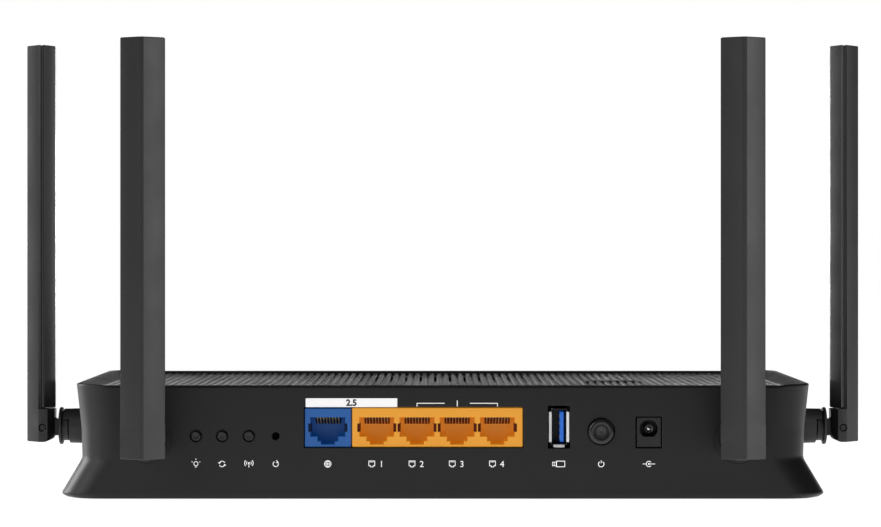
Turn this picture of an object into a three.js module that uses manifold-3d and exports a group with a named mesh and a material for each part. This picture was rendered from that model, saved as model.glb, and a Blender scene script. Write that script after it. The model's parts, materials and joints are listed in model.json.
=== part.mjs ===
// A four-antenna wireless router, in millimetres with +Z up. The wall with the connectors faces -Y.
// The origin is on the surface that the feet stand on, in the middle of the whole router's footprint.
import * as THREE from "three";
import { mergeVertices } from "three/addons/utils/BufferGeometryUtils.js";
import Module from "manifold-3d";

const wasm = await Module();
wasm.setup();

// ---------------------------------------------------------------- driving dimensions

const GAP = 0.3; // play between neighbouring pieces

// The housing. Heights are counted from its lower edge, and y from the outside of its rear wall.
const BASE_HALF_WIDTH = 131; // at the widest point of the flared skirt
const DEPTH = 134.5;
const TOP_Z = 38.2;
const CORNER_RADIUS = 12.5;
const WALL = 2.2;
const FOOT_STANDOFF = 1; // the feet reach this far below the housing's lower edge
// How far the side and front walls stand in from the skirt's widest point, by height.
const WALL_INSETS = [
  [0, 1.6],
  [0.8, 0.4],
  [2.4, 0],
  [3.4, 0.3],
  [13.2, 6.8],
  [14.6, 7.2],
  [20, 7.0],
  [32, 6.2],
  [37.6, 5.4],
  [TOP_Z, 5.8],
];
const SKIRT_INNER_INSET = 2.4;
const WAIST_INSET = 7.2;

// The ribbed top panel and the rims beside it.
const PANEL_HALF_WIDTH = 117.5;
const PANEL_REAR_Y = 2.4;
const PANEL_FRONT_Y = 126.6;
const PANEL_THICKNESS = 2;
const RIB_PITCH = 2.67;
const GROOVE_WIDTH = 1.33;
const GROOVE_DEPTH = 0.9;
const LEDGE_WIDTH = 4.5;
const LEDGE_THICKNESS = 2;
const RIM_BEVEL_HALF_WIDTH = 123.2;
const RIM_RISE_REAR = 0.3;
const RIM_RISE_FRONT = 1.3;

// The indicator window in the top panel.
const WINDOW = { x: 60, y: 45, length: 16, width: 5 };

// The circuit board, on which the connectors stand.
const BOARD = { halfWidth: 88, rearY: 3.4, frontY: 112, bottomZ: 15, thickness: 1.6 };
const BOARD_TOP_Z = BOARD.bottomZ + BOARD.thickness;

// Network jacks.
const JACK_PITCH = 13.67;
const LAN_PORTS = 4;
const LAN_FIRST_X = -22.45;
const LAN_BLOCK = { x0: -30.8, x1: 27.1, z0: 17.4, z1: 30.6 };
const WAN_PORT_X = -39.1;
const WAN_BLOCK = { x0: -46.9, x1: -31.3, z0: 17.4, z1: 30.4 };
const JACK_FACE_Y = 0.5;
const JACK_LENGTH = 16;
const CAVITY_DEPTH = 13.5;
const CAVITY_HALF_WIDTH = 5.9;
const CAVITY_TOP_Z = 27.4;
const CAVITY_SHOULDER_Z = 20.9;
const LATCH_STEP = { halfWidth: 3.5, z: 19.3 };
const LATCH_SLOT = { halfWidth: 2.35, z: 18.2 };
const SIDE_NOTCH = { depth: 0.75, z0: 22.5, z1: 25.3, length: 4 };
const CONTACTS = 8;
const CONTACT_PITCH = 1.02;
const CONTACT_SIZE = 0.46;

// Other connectors and buttons on the rear wall.
const USB = { x: 39.5, z: 24.15, width: 6.9, height: 13.9, wall: 0.5, length: 15, faceY: 0.3 };
const DC_JACK = { x: 70, width: 8.3, z0: 17.3, z1: 27.4, holeZ: 23.5, holeRadius: 3.05, length: 12 };
const SMALL_BUTTON_XS = { indicator_button: -83.9, pairing_button: -75, radio_button: -65.9 };
const RESET_X = -56.8;
const BUTTON_Z = 21.1;
const BUTTON_HOLE_RADIUS = 1.95;
const BUTTON_RADIUS = 1.5;
const RESET_HOLE_RADIUS = 1.3;
const BUTTON_PLUNGE = 1; // free depth in each switch body, more than the travel
const POWER = { x: 53.8, z: 22.6, holeRadius: 4.55, capRadius: 4.15, plunge: 2.4 };

// Antennas. Each is built for the rear wall, around its socket's axis at y = 0 on the wall's face.
const REAR_SOCKET = { x: 100.3, z: 19.9 };
const SIDE_SOCKET = { y: 55, z: 21.9, wallInset: 6.9 };
const SEAT_RADIUS = 8;
const SEAT_DEPTH = 0.6;
const SOCKET_HOLE_RADIUS = 6.8;
const BLADE_LENGTH = 140.8;
const BLADE_HALF_WIDTH = 7.5;
const BLADE_INNER_Y = -14;
const BLADE_OUTER_Y = -24;
const RIDGE_HALF_WIDTH = 0.8;
const OUTER_EDGE_Y = -19.3;
const SEAM_OUTER_Y = -18.4;
const SEAM_INNER_Y = -17.2;
const SEAM_DEPTH = 0.5;
const SHELL_WALL = 1.4;
const PIN = { y: -17.9, z: -0.4, radius: 1.2, holeRadius: 1.35, length: 14.2 };
const BLADE_BOTTOM_Z = -5.5;
const FORK_TOP_Z = 6.3; // the inner shell starts above it
const FORK_SLOT_HALF_WIDTH = 2.9;
const FORK_EDGE_Y = -16;
const TONGUE_HALF_WIDTH = 2.55;
const TONGUE_RADIUS = 3;

// Underside.
const COVER = { bottomZ: -0.3, topZ: 1.5 };
const FOOT = { x: 104, ys: [20, 112], radius: 5.5 };
const SCREW_POST = { x: 112, y: 15, radius: 4 };
const BOARD_POST = { x: 78, ys: [16, 102], radius: 2.6 };

const ROUND = 20; // sides of a visible round part
const ROUND_SMALL = 12; // sides of a small or hidden one

// ---------------------------------------------------------------- finishes

const finish = (color, roughness, metalness = 0) => ({ color, roughness, metalness });
const HOUSING_BLACK = finish(0x1d1d1e, 0.5);
const ANTENNA_BLACK = finish(0x212122, 0.6);
const BUTTON_BLACK = finish(0x161617, 0.45);
const RUBBER = finish(0x111112, 0.9);
const WINDOW_SMOKE = finish(0x2a2c2e, 0.15);
const CLEAR_PLASTIC = finish(0xdfe6ea, 0.2);
const STEEL = finish(0xb9bcc0, 0.3, 1);
const GOLD = finish(0xc9a24a, 0.3, 1);
const ALUMINIUM = finish(0xa9adb2, 0.4, 1);
const BOARD_GREEN = finish(0x1c4a30, 0.6);
const JACK_ORANGE = finish(0xef9a28, 0.5);
const JACK_BLUE = finish(0x2a66b0, 0.5);
const USB_BLUE = finish(0x2f72cf, 0.45);
const SWITCH_BLACK = finish(0x222224, 0.6);
const CABLE_GREY = finish(0x3a3a3c, 0.6);

// ---------------------------------------------------------------- geometry helpers

// A closed manifold-3d solid from a three.js geometry.
function solid(geometry) {
  const bare = geometry.index ? geometry.toNonIndexed() : geometry.clone();
  bare.deleteAttribute("normal");
  bare.deleteAttribute("uv");
  const merged = mergeVertices(bare, 1e-4);
  return new wasm.Manifold(
    new wasm.Mesh({
      numProp: 3,
      vertProperties: merged.attributes.position.array,
      triVerts: new Uint32Array(merged.index.array),
    }),
  );
}

// A three.js geometry from a manifold-3d solid.
function geometryOf(shape) {
  const mesh = shape.getMesh();
  const geometry = new THREE.BufferGeometry();
  geometry.setAttribute("position", new THREE.BufferAttribute(mesh.vertProperties, 3));
  geometry.setIndex(new THREE.BufferAttribute(mesh.triVerts, 1));
  geometry.computeVertexNormals();
  return geometry;
}

// A block between two corners.
function block(x0, x1, y0, y1, z0, z1) {
  const geometry = new THREE.BoxGeometry(x1 - x0, y1 - y0, z1 - z0);
  geometry.translate((x0 + x1) / 2, (y0 + y1) / 2, (z0 + z1) / 2);
  return solid(geometry);
}

// A round bar along Y, centred on (x, z).
function barY(x, z, radius, y0, y1, sides = ROUND) {
  const geometry = new THREE.CylinderGeometry(radius, radius, y1 - y0, sides);
  geometry.translate(x, (y0 + y1) / 2, z);
  return solid(geometry);
}

// A round bar along X, centred on (y, z).
function barX(y, z, radius, x0, x1, sides = ROUND) {
  const geometry = new THREE.CylinderGeometry(radius, radius, x1 - x0, sides);
  geometry.rotateZ(Math.PI / 2);
  geometry.translate((x0 + x1) / 2, y, z);
  return solid(geometry);
}

// A round bar along Z, centred on (x, y).
function barZ(x, y, radius, z0, z1, sides = ROUND) {
  const geometry = new THREE.CylinderGeometry(radius, radius, z1 - z0, sides);
  geometry.rotateX(Math.PI / 2);
  geometry.translate(x, y, (z0 + z1) / 2);
  return solid(geometry);
}

// A turned piece along Y, centred on (x, z). The profile's points are [radius, y], in rising y.
function turnedY(x, z, profile, sides = ROUND) {
  const points = profile.map(([radius, y]) => new THREE.Vector2(radius, y));
  const geometry = new THREE.LatheGeometry(points, sides);
  geometry.translate(x, 0, z);
  return solid(geometry);
}

// An outline of [a, b] points as a Shape.
function shapeOf(outline) {
  return new THREE.Shape(outline.map(([a, b]) => new THREE.Vector2(a, b)));
}

// An outline in X and Y, raised from z0 to z1.
function prismZ(outline, z0, z1) {
  const geometry = new THREE.ExtrudeGeometry(shapeOf(outline), { depth: z1 - z0, bevelEnabled: false });
  geometry.translate(0, 0, z0);
  return solid(geometry);
}

// An outline in X and Z, drawn from y0 to y1.
function prismY(outline, y0, y1) {
  const geometry = new THREE.ExtrudeGeometry(shapeOf(outline), { depth: y1 - y0, bevelEnabled: false });
  geometry.rotateX(Math.PI / 2);
  geometry.translate(0, y1, 0);
  return solid(geometry);
}

// An outline in Y and Z, drawn from x0 to x1.
function prismX(outline, x0, x1) {
  const geometry = new THREE.ExtrudeGeometry(shapeOf(outline), { depth: x1 - x0, bevelEnabled: false });
  geometry.rotateY(Math.PI / 2);
  geometry.rotateX(Math.PI / 2);
  geometry.translate(x0, 0, 0);
  return solid(geometry);
}

// A long outline with round ends, centred on (x, y), lying along X.
function stadium(x, y, length, width, steps = 6) {
  const radius = width / 2;
  const reach = length / 2 - radius;
  const outline = [];
  for (const side of [1, -1]) {
    for (let i = 0; i <= steps; i += 1) {
      const angle = Math.PI * (i / steps - side / 2);
      outline.push([x + side * reach + Math.cos(angle) * radius, y + Math.sin(angle) * radius]);
    }
  }
  return outline;
}

// A rounded rectangle in X and Y, as points that run anticlockwise.
function roundedOutline(halfWidth, rearY, frontY, radius, steps = 6) {
  const corners = [
    [halfWidth - radius, rearY + radius, -90],
    [halfWidth - radius, frontY - radius, 0],
    [radius - halfWidth, frontY - radius, 90],
    [radius - halfWidth, rearY + radius, 180],
  ];
  const outline = [];
  for (const [x, y, start] of corners) {
    for (let i = 0; i <= steps; i += 1) {
      const angle = THREE.MathUtils.degToRad(start + (90 * i) / steps);
      outline.push([x + radius * Math.cos(angle), y + radius * Math.sin(angle)]);
    }
  }
  return outline;
}

// A closed skin through convex rings of equal point count, given as {outline, z} from the lowest up.
function loft(rings) {
  const count = rings[0].outline.length;
  const positions = [];
  for (const { outline, z } of rings) {
    for (const [x, y] of outline) positions.push(x, y, z);
  }
  const triangles = [];
  for (let level = 0; level < rings.length - 1; level += 1) {
    for (let i = 0; i < count; i += 1) {
      const a = level * count + i;
      const b = level * count + ((i + 1) % count);
      triangles.push(a, b, b + count, a, b + count, a + count);
    }
  }
  const top = (rings.length - 1) * count;
  for (let i = 1; i < count - 1; i += 1) {
    triangles.push(0, i + 1, i);
    triangles.push(top, top + i, top + i + 1);
  }
  const geometry = new THREE.BufferGeometry();
  geometry.setAttribute("position", new THREE.Float32BufferAttribute(positions, 3));
  geometry.setIndex(triangles);
  return solid(geometry);
}

const fuse = (pieces) => pieces.reduce((whole, piece) => whole.add(piece));
const cut = (body, pieces) => pieces.reduce((whole, piece) => whole.subtract(piece), body);

const housing = new THREE.Group();

// Adds one named sub-part to a group.
function addPart(group, name, shape, look) {
  const mesh = new THREE.Mesh(geometryOf(shape), new THREE.MeshStandardMaterial(look));
  mesh.name = name;
  group.add(mesh);
  return mesh;
}

// ---------------------------------------------------------------- the housing and its covers

// The outside outline at one inset from the skirt's widest point. The rear wall stays upright.
function wallOutline(inset, offset = 0) {
  return roundedOutline(
    BASE_HALF_WIDTH - inset - offset,
    offset,
    DEPTH - inset - offset,
    CORNER_RADIUS - offset,
  );
}

function mainHousing() {
  const outside = loft(WALL_INSETS.map(([z, inset]) => ({ outline: wallOutline(inset), z })));
  const ledgeZ = TOP_Z - PANEL_THICKNESS - GAP;
  const roofZ = ledgeZ - LEDGE_THICKNESS;
  const inside = loft([
    { outline: wallOutline(SKIRT_INNER_INSET, 0.6), z: -1 },
    { outline: wallOutline(SKIRT_INNER_INSET, 0.6), z: 3 },
    { outline: wallOutline(WAIST_INSET, WALL), z: 13.4 },
    { outline: wallOutline(WAIST_INSET, WALL), z: 18 },
    { outline: wallOutline(WALL_INSETS.at(-1)[1] + 0.4, WALL), z: roofZ },
  ]);
  const pocket = block(
    -PANEL_HALF_WIDTH - GAP,
    PANEL_HALF_WIDTH + GAP,
    PANEL_REAR_Y - GAP,
    PANEL_FRONT_Y + GAP,
    ledgeZ,
    TOP_Z + 3,
  );
  const throat = block(
    LEDGE_WIDTH - PANEL_HALF_WIDTH,
    PANEL_HALF_WIDTH - LEDGE_WIDTH,
    PANEL_REAR_Y + LEDGE_WIDTH,
    PANEL_FRONT_Y - LEDGE_WIDTH,
    roofZ - 1,
    TOP_Z + 3,
  );
  const shell = cut(outside.add(sideRims()), [inside, pocket, throat]);
  const screwPosts = [-1, 1].map((side) =>
    barZ(side * SCREW_POST.x, SCREW_POST.y, SCREW_POST.radius, 4.8, roofZ + 1, ROUND_SMALL),
  );
  const screwBores = [-1, 1].map((side) =>
    barZ(side * SCREW_POST.x, SCREW_POST.y, 1.6, 4, 15, ROUND_SMALL),
  );
  return cut(fuse([shell, ...screwPosts]), [...screwBores, ...rearWallCuts(), ...socketHoles()]);
}

// Two rims along the sides of the top, which rise towards the front and slope down to the panel.
function sideRims() {
  const rearY = 0.5;
  const frontY = DEPTH - 5.5;
  const baseZ = TOP_Z - 1;
  const profile = (rise) => [
    [PANEL_HALF_WIDTH, baseZ],
    [BASE_HALF_WIDTH, baseZ],
    [BASE_HALF_WIDTH, TOP_Z + rise],
    [RIM_BEVEL_HALF_WIDTH, TOP_Z + rise],
    [PANEL_HALF_WIDTH, TOP_Z - 0.02],
  ];
  const flat = loft([
    { outline: profile(RIM_RISE_REAR), z: rearY },
    { outline: profile(RIM_RISE_FRONT), z: frontY },
  ]);
  // The loft runs along its own Z, so it is laid along Y, which mirrors nothing.
  const right = flat.rotate([90, 0, 0]).mirror([0, 1, 0]);
  const left = right.mirror([1, 0, 0]);
  const topInset = WALL_INSETS.at(-1)[1];
  const outline = prismZ(wallOutline(topInset), baseZ - 1, TOP_Z + 5);
  return right.add(left).intersect(outline);
}

function rearWallCuts() {
  const y0 = -1;
  const y1 = WALL + 1;
  const power = barY(POWER.x, POWER.z, POWER.holeRadius, y0, y1, 28);
  const reset = barY(RESET_X, BUTTON_Z, RESET_HOLE_RADIUS, y0, y1, ROUND_SMALL);
  const small = Object.values(SMALL_BUTTON_XS).map((x) =>
    barY(x, BUTTON_Z, BUTTON_HOLE_RADIUS, y0, y1, 16),
  );
  const jacks = block(
    WAN_BLOCK.x0 - GAP,
    LAN_BLOCK.x1 + GAP,
    y0,
    y1,
    LAN_BLOCK.z0 - GAP,
    LAN_BLOCK.z1 + GAP,
  );
  const usb = block(
    USB.x - USB.width / 2 - GAP,
    USB.x + USB.width / 2 + GAP,
    y0,
    y1,
    USB.z - USB.height / 2 - GAP,
    USB.z + USB.height / 2 + GAP,
  );
  const dc = block(
    DC_JACK.x - DC_JACK.width / 2 - GAP,
    DC_JACK.x + DC_JACK.width / 2 + GAP,
    y0,
    y1,
    DC_JACK.z0 - GAP,
    DC_JACK.z1 + GAP,
  );
  return [power, reset, ...small, jacks, usb, dc];
}

function socketHoles() {
  const rear = [-1, 1].flatMap((side) => [
    barY(side * REAR_SOCKET.x, REAR_SOCKET.z, SOCKET_HOLE_RADIUS, -1, WALL + 1),
    barY(side * REAR_SOCKET.x, REAR_SOCKET.z, SEAT_RADIUS, -1, SEAT_DEPTH, 32),
  ]);
  const reach = BASE_HALF_WIDTH + 5;
  const through = barX(SIDE_SOCKET.y, SIDE_SOCKET.z, SOCKET_HOLE_RADIUS, -reach, reach);
  const middle = block(-105, 105, 0, DEPTH, 0, TOP_Z);
  return [...rear, through.subtract(middle)];
}

// The ribbed panel: grooves along Y, some of them open right through as air vents.
function topPanel() {
  const topZ = TOP_Z;
  const bottomZ = TOP_Z - PANEL_THICKNESS;
  const grooves = Math.floor((2 * PANEL_HALF_WIDTH - GROOVE_WIDTH) / RIB_PITCH);
  const firstX = (-(grooves - 1) / 2) * RIB_PITCH;
  const outline = [
    [-PANEL_HALF_WIDTH, bottomZ],
    [PANEL_HALF_WIDTH, bottomZ],
    [PANEL_HALF_WIDTH, topZ],
  ];
  for (let i = grooves - 1; i >= 0; i -= 1) {
    const x = firstX + i * RIB_PITCH;
    outline.push([x + GROOVE_WIDTH / 2, topZ]);
    outline.push([x + GROOVE_WIDTH / 2, topZ - GROOVE_DEPTH]);
    outline.push([x - GROOVE_WIDTH / 2, topZ - GROOVE_DEPTH]);
    outline.push([x - GROOVE_WIDTH / 2, topZ]);
  }
  outline.push([-PANEL_HALF_WIDTH, topZ]);
  const ribbed = prismY(outline, PANEL_REAR_Y, PANEL_FRONT_Y);
  const ventY0 = 62;
  const ventY1 = 104;
  const vents = [];
  for (let i = 0; i < grooves; i += 1) {
    const x = firstX + i * RIB_PITCH;
    if (Math.abs(x) > 60 || i % 2) continue;
    vents.push(
      block(x - GROOVE_WIDTH / 2, x + GROOVE_WIDTH / 2, ventY0, ventY1, bottomZ - 1, topZ - 0.5),
    );
  }
  const island = prismZ(stadium(WINDOW.x, WINDOW.y, WINDOW.length + 4, WINDOW.width + 3), bottomZ, topZ);
  const hole = prismZ(
    stadium(WINDOW.x, WINDOW.y, WINDOW.length + 2 * GAP, WINDOW.width + 2 * GAP),
    bottomZ - 1,
    topZ + 1,
  );
  return cut(ribbed, vents).add(island).subtract(hole);
}

function ledWindow() {
  return prismZ(stadium(WINDOW.x, WINDOW.y, WINDOW.length, WINDOW.width), TOP_Z - 1.6, TOP_Z + 0.15);
}

function ledLightPipe() {
  return prismZ(
    stadium(WINDOW.x, WINDOW.y, WINDOW.length - 4, WINDOW.width - 2, 4),
    BOARD_TOP_Z + GAP,
    TOP_Z - 1.6 - GAP,
  );
}

function bottomCover() {
  const rim = SKIRT_INNER_INSET + 0.6 + GAP;
  const outline = roundedOutline(
    BASE_HALF_WIDTH - rim,
    0.6 + GAP,
    DEPTH - rim,
    CORNER_RADIUS - 0.6 - GAP,
  );
  const plate = prismZ(outline, COVER.bottomZ, COVER.topZ);
  const bosses = [-1, 1].map((side) =>
    barZ(side * SCREW_POST.x, SCREW_POST.y, 5, COVER.topZ - 0.5, 4.5, ROUND_SMALL),
  );
  const boardPosts = [-1, 1].flatMap((side) =>
    BOARD_POST.ys.map((y) =>
      barZ(side * BOARD_POST.x, y, BOARD_POST.radius, COVER.topZ - 0.5, BOARD.bottomZ - GAP, 8),
    ),
  );
  const hooks = [-1, 1].map((side) =>
    block(side * 70 - 6, side * 70 + 6, DEPTH - 12, DEPTH - 10.6, COVER.topZ - 0.5, 8),
  );
  const counterbores = [-1, 1].flatMap((side) => [
    barZ(side * SCREW_POST.x, SCREW_POST.y, 3.3, COVER.bottomZ - 1, 2.2, 16),
    barZ(side * SCREW_POST.x, SCREW_POST.y, 1.7, 0, 6, ROUND_SMALL),
  ]);
  const footSeats = [-1, 1].flatMap((side) =>
    FOOT.ys.map((y) => barZ(side * FOOT.x, y, FOOT.radius + GAP, COVER.bottomZ - 1, 0.5)),
  );
  const slots = [];
  for (let i = 0; i < 14; i += 1) {
    for (const y of [38, 74]) {
      const x = -58.5 + 9 * i;
      slots.push(block(x - 1.1, x + 1.1, y, y + 24, COVER.bottomZ - 1, COVER.topZ + 1));
    }
  }
  const whole = fuse([plate, ...bosses, ...boardPosts, ...hooks]);
  return cut(whole, [...counterbores, ...footSeats, ...slots]);
}

function rubberFoot(x, y) {
  const radius = FOOT.radius;
  const points = [
    [0, -FOOT_STANDOFF],
    [radius - 0.5, -FOOT_STANDOFF],
    [radius, -FOOT_STANDOFF + 0.4],
    [radius, 0.5 - GAP],
    [0, 0.5 - GAP],
  ];
  const geometry = new THREE.LatheGeometry(points.map(([r, z]) => new THREE.Vector2(r, z)), ROUND);
  geometry.rotateX(Math.PI / 2);
  geometry.translate(x, y, 0);
  return solid(geometry);
}

function housingScrew(x, y) {
  const head = barZ(x, y, 2.9, 0.3, 2.2 - GAP, 16);
  const shank = barZ(x, y, 1.25, 1, 13, ROUND_SMALL);
  const cross = block(x - 1.7, x + 1.7, y - 0.35, y + 0.35, 0, 1.2).add(
    block(x - 0.35, x + 0.35, y - 1.7, y + 1.7, 0, 1.2),
  );
  return head.add(shank).subtract(cross);
}

addPart(housing, "main_housing", mainHousing(), HOUSING_BLACK);
addPart(housing, "top_vent_panel", topPanel(), HOUSING_BLACK);
addPart(housing, "bottom_cover", bottomCover(), HOUSING_BLACK);
addPart(housing, "led_window", ledWindow(), WINDOW_SMOKE);
addPart(housing, "led_light_pipe", ledLightPipe(), CLEAR_PLASTIC);
for (const [sideName, side] of [["left", -1], ["right", 1]]) {
  addPart(housing, `rear_${sideName}_foot`, rubberFoot(side * FOOT.x, FOOT.ys[0]), RUBBER);
  addPart(housing, `front_${sideName}_foot`, rubberFoot(side * FOOT.x, FOOT.ys[1]), RUBBER);
  addPart(housing, `${sideName}_housing_screw`, housingScrew(side * SCREW_POST.x, SCREW_POST.y), STEEL);
}

// ---------------------------------------------------------------- the circuit board and what it carries

function circuitBoard() {
  const half = BOARD.halfWidth;
  return block(-half, half, BOARD.rearY, BOARD.frontY, BOARD.bottomZ, BOARD_TOP_Z);
}

function heatsink() {
  const x0 = 0;
  const x1 = 46;
  const baseZ = BOARD_TOP_Z + GAP;
  const fins = 9;
  const pitch = (x1 - x0 - 1.4) / (fins - 1);
  const outline = [[x0, baseZ], [x1, baseZ]];
  for (let i = fins - 1; i >= 0; i -= 1) {
    const x = x0 + i * pitch;
    outline.push([x + 1.4, baseZ + 2.5]);
    outline.push([x + 1.4, baseZ + 11]);
    outline.push([x, baseZ + 11]);
    outline.push([x, baseZ + 2.5]);
  }
  // The end fins are flush with the base, so their outer foot points are left out.
  const ends = new Set([outline.length - 1, 2]);
  return prismY(outline.filter((_, i) => !ends.has(i)), 56, 100);
}

function rfShield() {
  const z0 = BOARD_TOP_Z + GAP;
  const can = block(-60, -16, 52, 96, z0, z0 + 3.2);
  return can.subtract(block(-59.6, -16.4, 52.4, 95.6, z0 - 1, z0 + 2.8));
}

addPart(housing, "circuit_board", circuitBoard(), BOARD_GREEN);
addPart(housing, "heatsink", heatsink(), ALUMINIUM);
addPart(housing, "rf_shield", rfShield(), STEEL);

// ---------------------------------------------------------------- network jacks

// The stepped hollow of one port, centred on x, with its notches for a plug's side ribs.
function portCavity(x) {
  const halfWidth = CAVITY_HALF_WIDTH;
  const outline = [
    [x - LATCH_SLOT.halfWidth, LATCH_SLOT.z],
    [x + LATCH_SLOT.halfWidth, LATCH_SLOT.z],
    [x + LATCH_SLOT.halfWidth, LATCH_STEP.z],
    [x + LATCH_STEP.halfWidth, LATCH_STEP.z],
    [x + LATCH_STEP.halfWidth, CAVITY_SHOULDER_Z],
    [x + halfWidth, CAVITY_SHOULDER_Z],
    [x + halfWidth, CAVITY_TOP_Z],
    [x - halfWidth, CAVITY_TOP_Z],
    [x - halfWidth, CAVITY_SHOULDER_Z],
    [x - LATCH_STEP.halfWidth, CAVITY_SHOULDER_Z],
    [x - LATCH_STEP.halfWidth, LATCH_STEP.z],
    [x - LATCH_SLOT.halfWidth, LATCH_STEP.z],
  ];
  const faceY = JACK_FACE_Y;
  const notchHalf = halfWidth + SIDE_NOTCH.depth;
  const notches = block(
    x - notchHalf,
    x + notchHalf,
    faceY - 1,
    faceY + SIDE_NOTCH.length,
    SIDE_NOTCH.z0,
    SIDE_NOTCH.z1,
  );
  return prismY(outline, faceY - 1, faceY + CAVITY_DEPTH).add(notches);
}

// The jack's body, with a gutter in the roof of each cavity for its contacts.
function jackBody(size, portXs) {
  const body = block(size.x0, size.x1, JACK_FACE_Y, JACK_FACE_Y + JACK_LENGTH, size.z0, size.z1);
  const gutterHalf = (CONTACTS * CONTACT_PITCH) / 2 + 0.2;
  const gutters = portXs.map((x) =>
    block(
      x - gutterHalf,
      x + gutterHalf,
      JACK_FACE_Y + 0.8,
      JACK_FACE_Y + JACK_LENGTH + 1,
      CAVITY_TOP_Z - 0.5,
      CAVITY_TOP_Z + 1.4,
    ),
  );
  return cut(body, [...portXs.map(portCavity), ...gutters]);
}

// Sprung wires that hang from a carrier in the roof and slope down into the cavity.
function contactComb(portXs) {
  const carrierY0 = JACK_FACE_Y + JACK_LENGTH + GAP;
  const roofZ = CAVITY_TOP_Z + 0.4;
  const outline = [
    [JACK_FACE_Y + 1.6, roofZ + CONTACT_SIZE],
    [JACK_FACE_Y + 1.6, roofZ - 0.1],
    [JACK_FACE_Y + 7.5, CAVITY_TOP_Z - 2.5],
    [JACK_FACE_Y + 8, CAVITY_TOP_Z - 2.5],
    [JACK_FACE_Y + 8, CAVITY_TOP_Z - 2],
    [JACK_FACE_Y + 3.2, roofZ],
    [carrierY0 + 0.5, roofZ],
    [carrierY0 + 0.5, roofZ + CONTACT_SIZE],
  ];
  const wires = portXs.flatMap((x) =>
    Array.from({ length: CONTACTS }, (_, i) => {
      const wireX = x + (i - (CONTACTS - 1) / 2) * CONTACT_PITCH;
      return prismX(outline, wireX - CONTACT_SIZE / 2, wireX + CONTACT_SIZE / 2);
    }),
  );
  const half = (CONTACTS * CONTACT_PITCH) / 2;
  const carrier = block(
    portXs[0] - half,
    portXs.at(-1) + half,
    carrierY0,
    carrierY0 + 1.2,
    BOARD_TOP_Z + GAP,
    roofZ + 1,
  );
  return fuse([carrier, ...wires]);
}

const lanPortXs = Array.from({ length: LAN_PORTS }, (_, i) => LAN_FIRST_X + i * JACK_PITCH);
addPart(housing, "lan_jack_block", jackBody(LAN_BLOCK, lanPortXs), JACK_ORANGE);
addPart(housing, "wan_jack", jackBody(WAN_BLOCK, [WAN_PORT_X]), JACK_BLUE);
addPart(housing, "lan_contacts", contactComb(lanPortXs), GOLD);
addPart(housing, "wan_contacts", contactComb([WAN_PORT_X]), GOLD);

// ---------------------------------------------------------------- USB socket and power inlet

function usbShell() {
  const { x, z, width, height, wall, length, faceY } = USB;
  const outer = block(x - width / 2, x + width / 2, faceY, faceY + length, z - height / 2, z + height / 2);
  const inner = block(
    x - width / 2 + wall,
    x + width / 2 - wall,
    faceY - 1,
    faceY + length + 1,
    z - height / 2 + wall,
    z + height / 2 - wall,
  );
  return outer.subtract(inner);
}

function usbTongue() {
  const { x, z, width, height, wall, length, faceY } = USB;
  const baseHalfWidth = width / 2 - wall - GAP;
  const baseHalfHeight = height / 2 - wall - GAP;
  const base = block(
    x - baseHalfWidth,
    x + baseHalfWidth,
    faceY + 10,
    faceY + length - 0.5,
    z - baseHalfHeight,
    z + baseHalfHeight,
  );
  const tongue = block(x + 0.1, x + 1.9, faceY + 1.2, faceY + 11, z - 5.1, z + 5.1);
  return base.add(tongue);
}

function dcJackBody() {
  const { x, width, z0, z1, holeZ, holeRadius, length } = DC_JACK;
  const body = block(x - width / 2, x + width / 2, 0.3, 0.3 + length, z0, z1);
  const hole = barY(x, holeZ, holeRadius, -1, 10.3, 24);
  const pinSeat = barY(x, holeZ, 1.3, 9, 0.3 + length + 1, ROUND_SMALL);
  return cut(body, [hole, pinSeat]);
}

function dcJackPin() {
  return turnedY(
    DC_JACK.x,
    DC_JACK.holeZ,
    [
      [0, 2],
      [0.5, 2],
      [0.9, 2.6],
      [0.9, 0.3 + DC_JACK.length + 1],
      [0, 0.3 + DC_JACK.length + 1],
    ],
    ROUND_SMALL,
  );
}

addPart(housing, "usb_shell", usbShell(), STEEL);
addPart(housing, "usb_tongue", usbTongue(), USB_BLUE);
addPart(housing, "dc_jack_body", dcJackBody(), SWITCH_BLACK);
addPart(housing, "dc_jack_pin", dcJackPin(), STEEL);

// ---------------------------------------------------------------- buttons and their switches

// A small round button: its cap passes the wall, a collar keeps it in, and its stem works the switch.
function smallButton(x) {
  return turnedY(
    x,
    BUTTON_Z,
    [
      [0, -0.5],
      [0.9, -0.4],
      [BUTTON_RADIUS, 0],
      [BUTTON_RADIUS, WALL + GAP],
      [2.6, WALL + GAP],
      [2.6, WALL + GAP + 0.8],
      [0.7, WALL + GAP + 0.8],
      [0.7, 6.2],
      [0, 6.2],
    ],
    16,
  );
}

// The reset plunger stays behind the wall, at the end of its pin hole.
function resetButton() {
  return turnedY(
    RESET_X,
    BUTTON_Z,
    [
      [0, 1.2],
      [0.9, 1.2],
      [0.9, WALL + GAP],
      [1.8, WALL + GAP],
      [1.8, WALL + GAP + 0.8],
      [0.7, WALL + GAP + 0.8],
      [0.7, 6.2],
      [0, 6.2],
    ],
    ROUND_SMALL,
  );
}

// A push switch on the board, with a well that the button's stem runs in.
function pushSwitch(x) {
  const body = block(x - 3, x + 3, 5.6, 11, BOARD_TOP_Z + GAP, BUTTON_Z + 2.6);
  return body.subtract(barY(x, BUTTON_Z, 1, 5, 6.2 + BUTTON_PLUNGE, 8));
}

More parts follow.
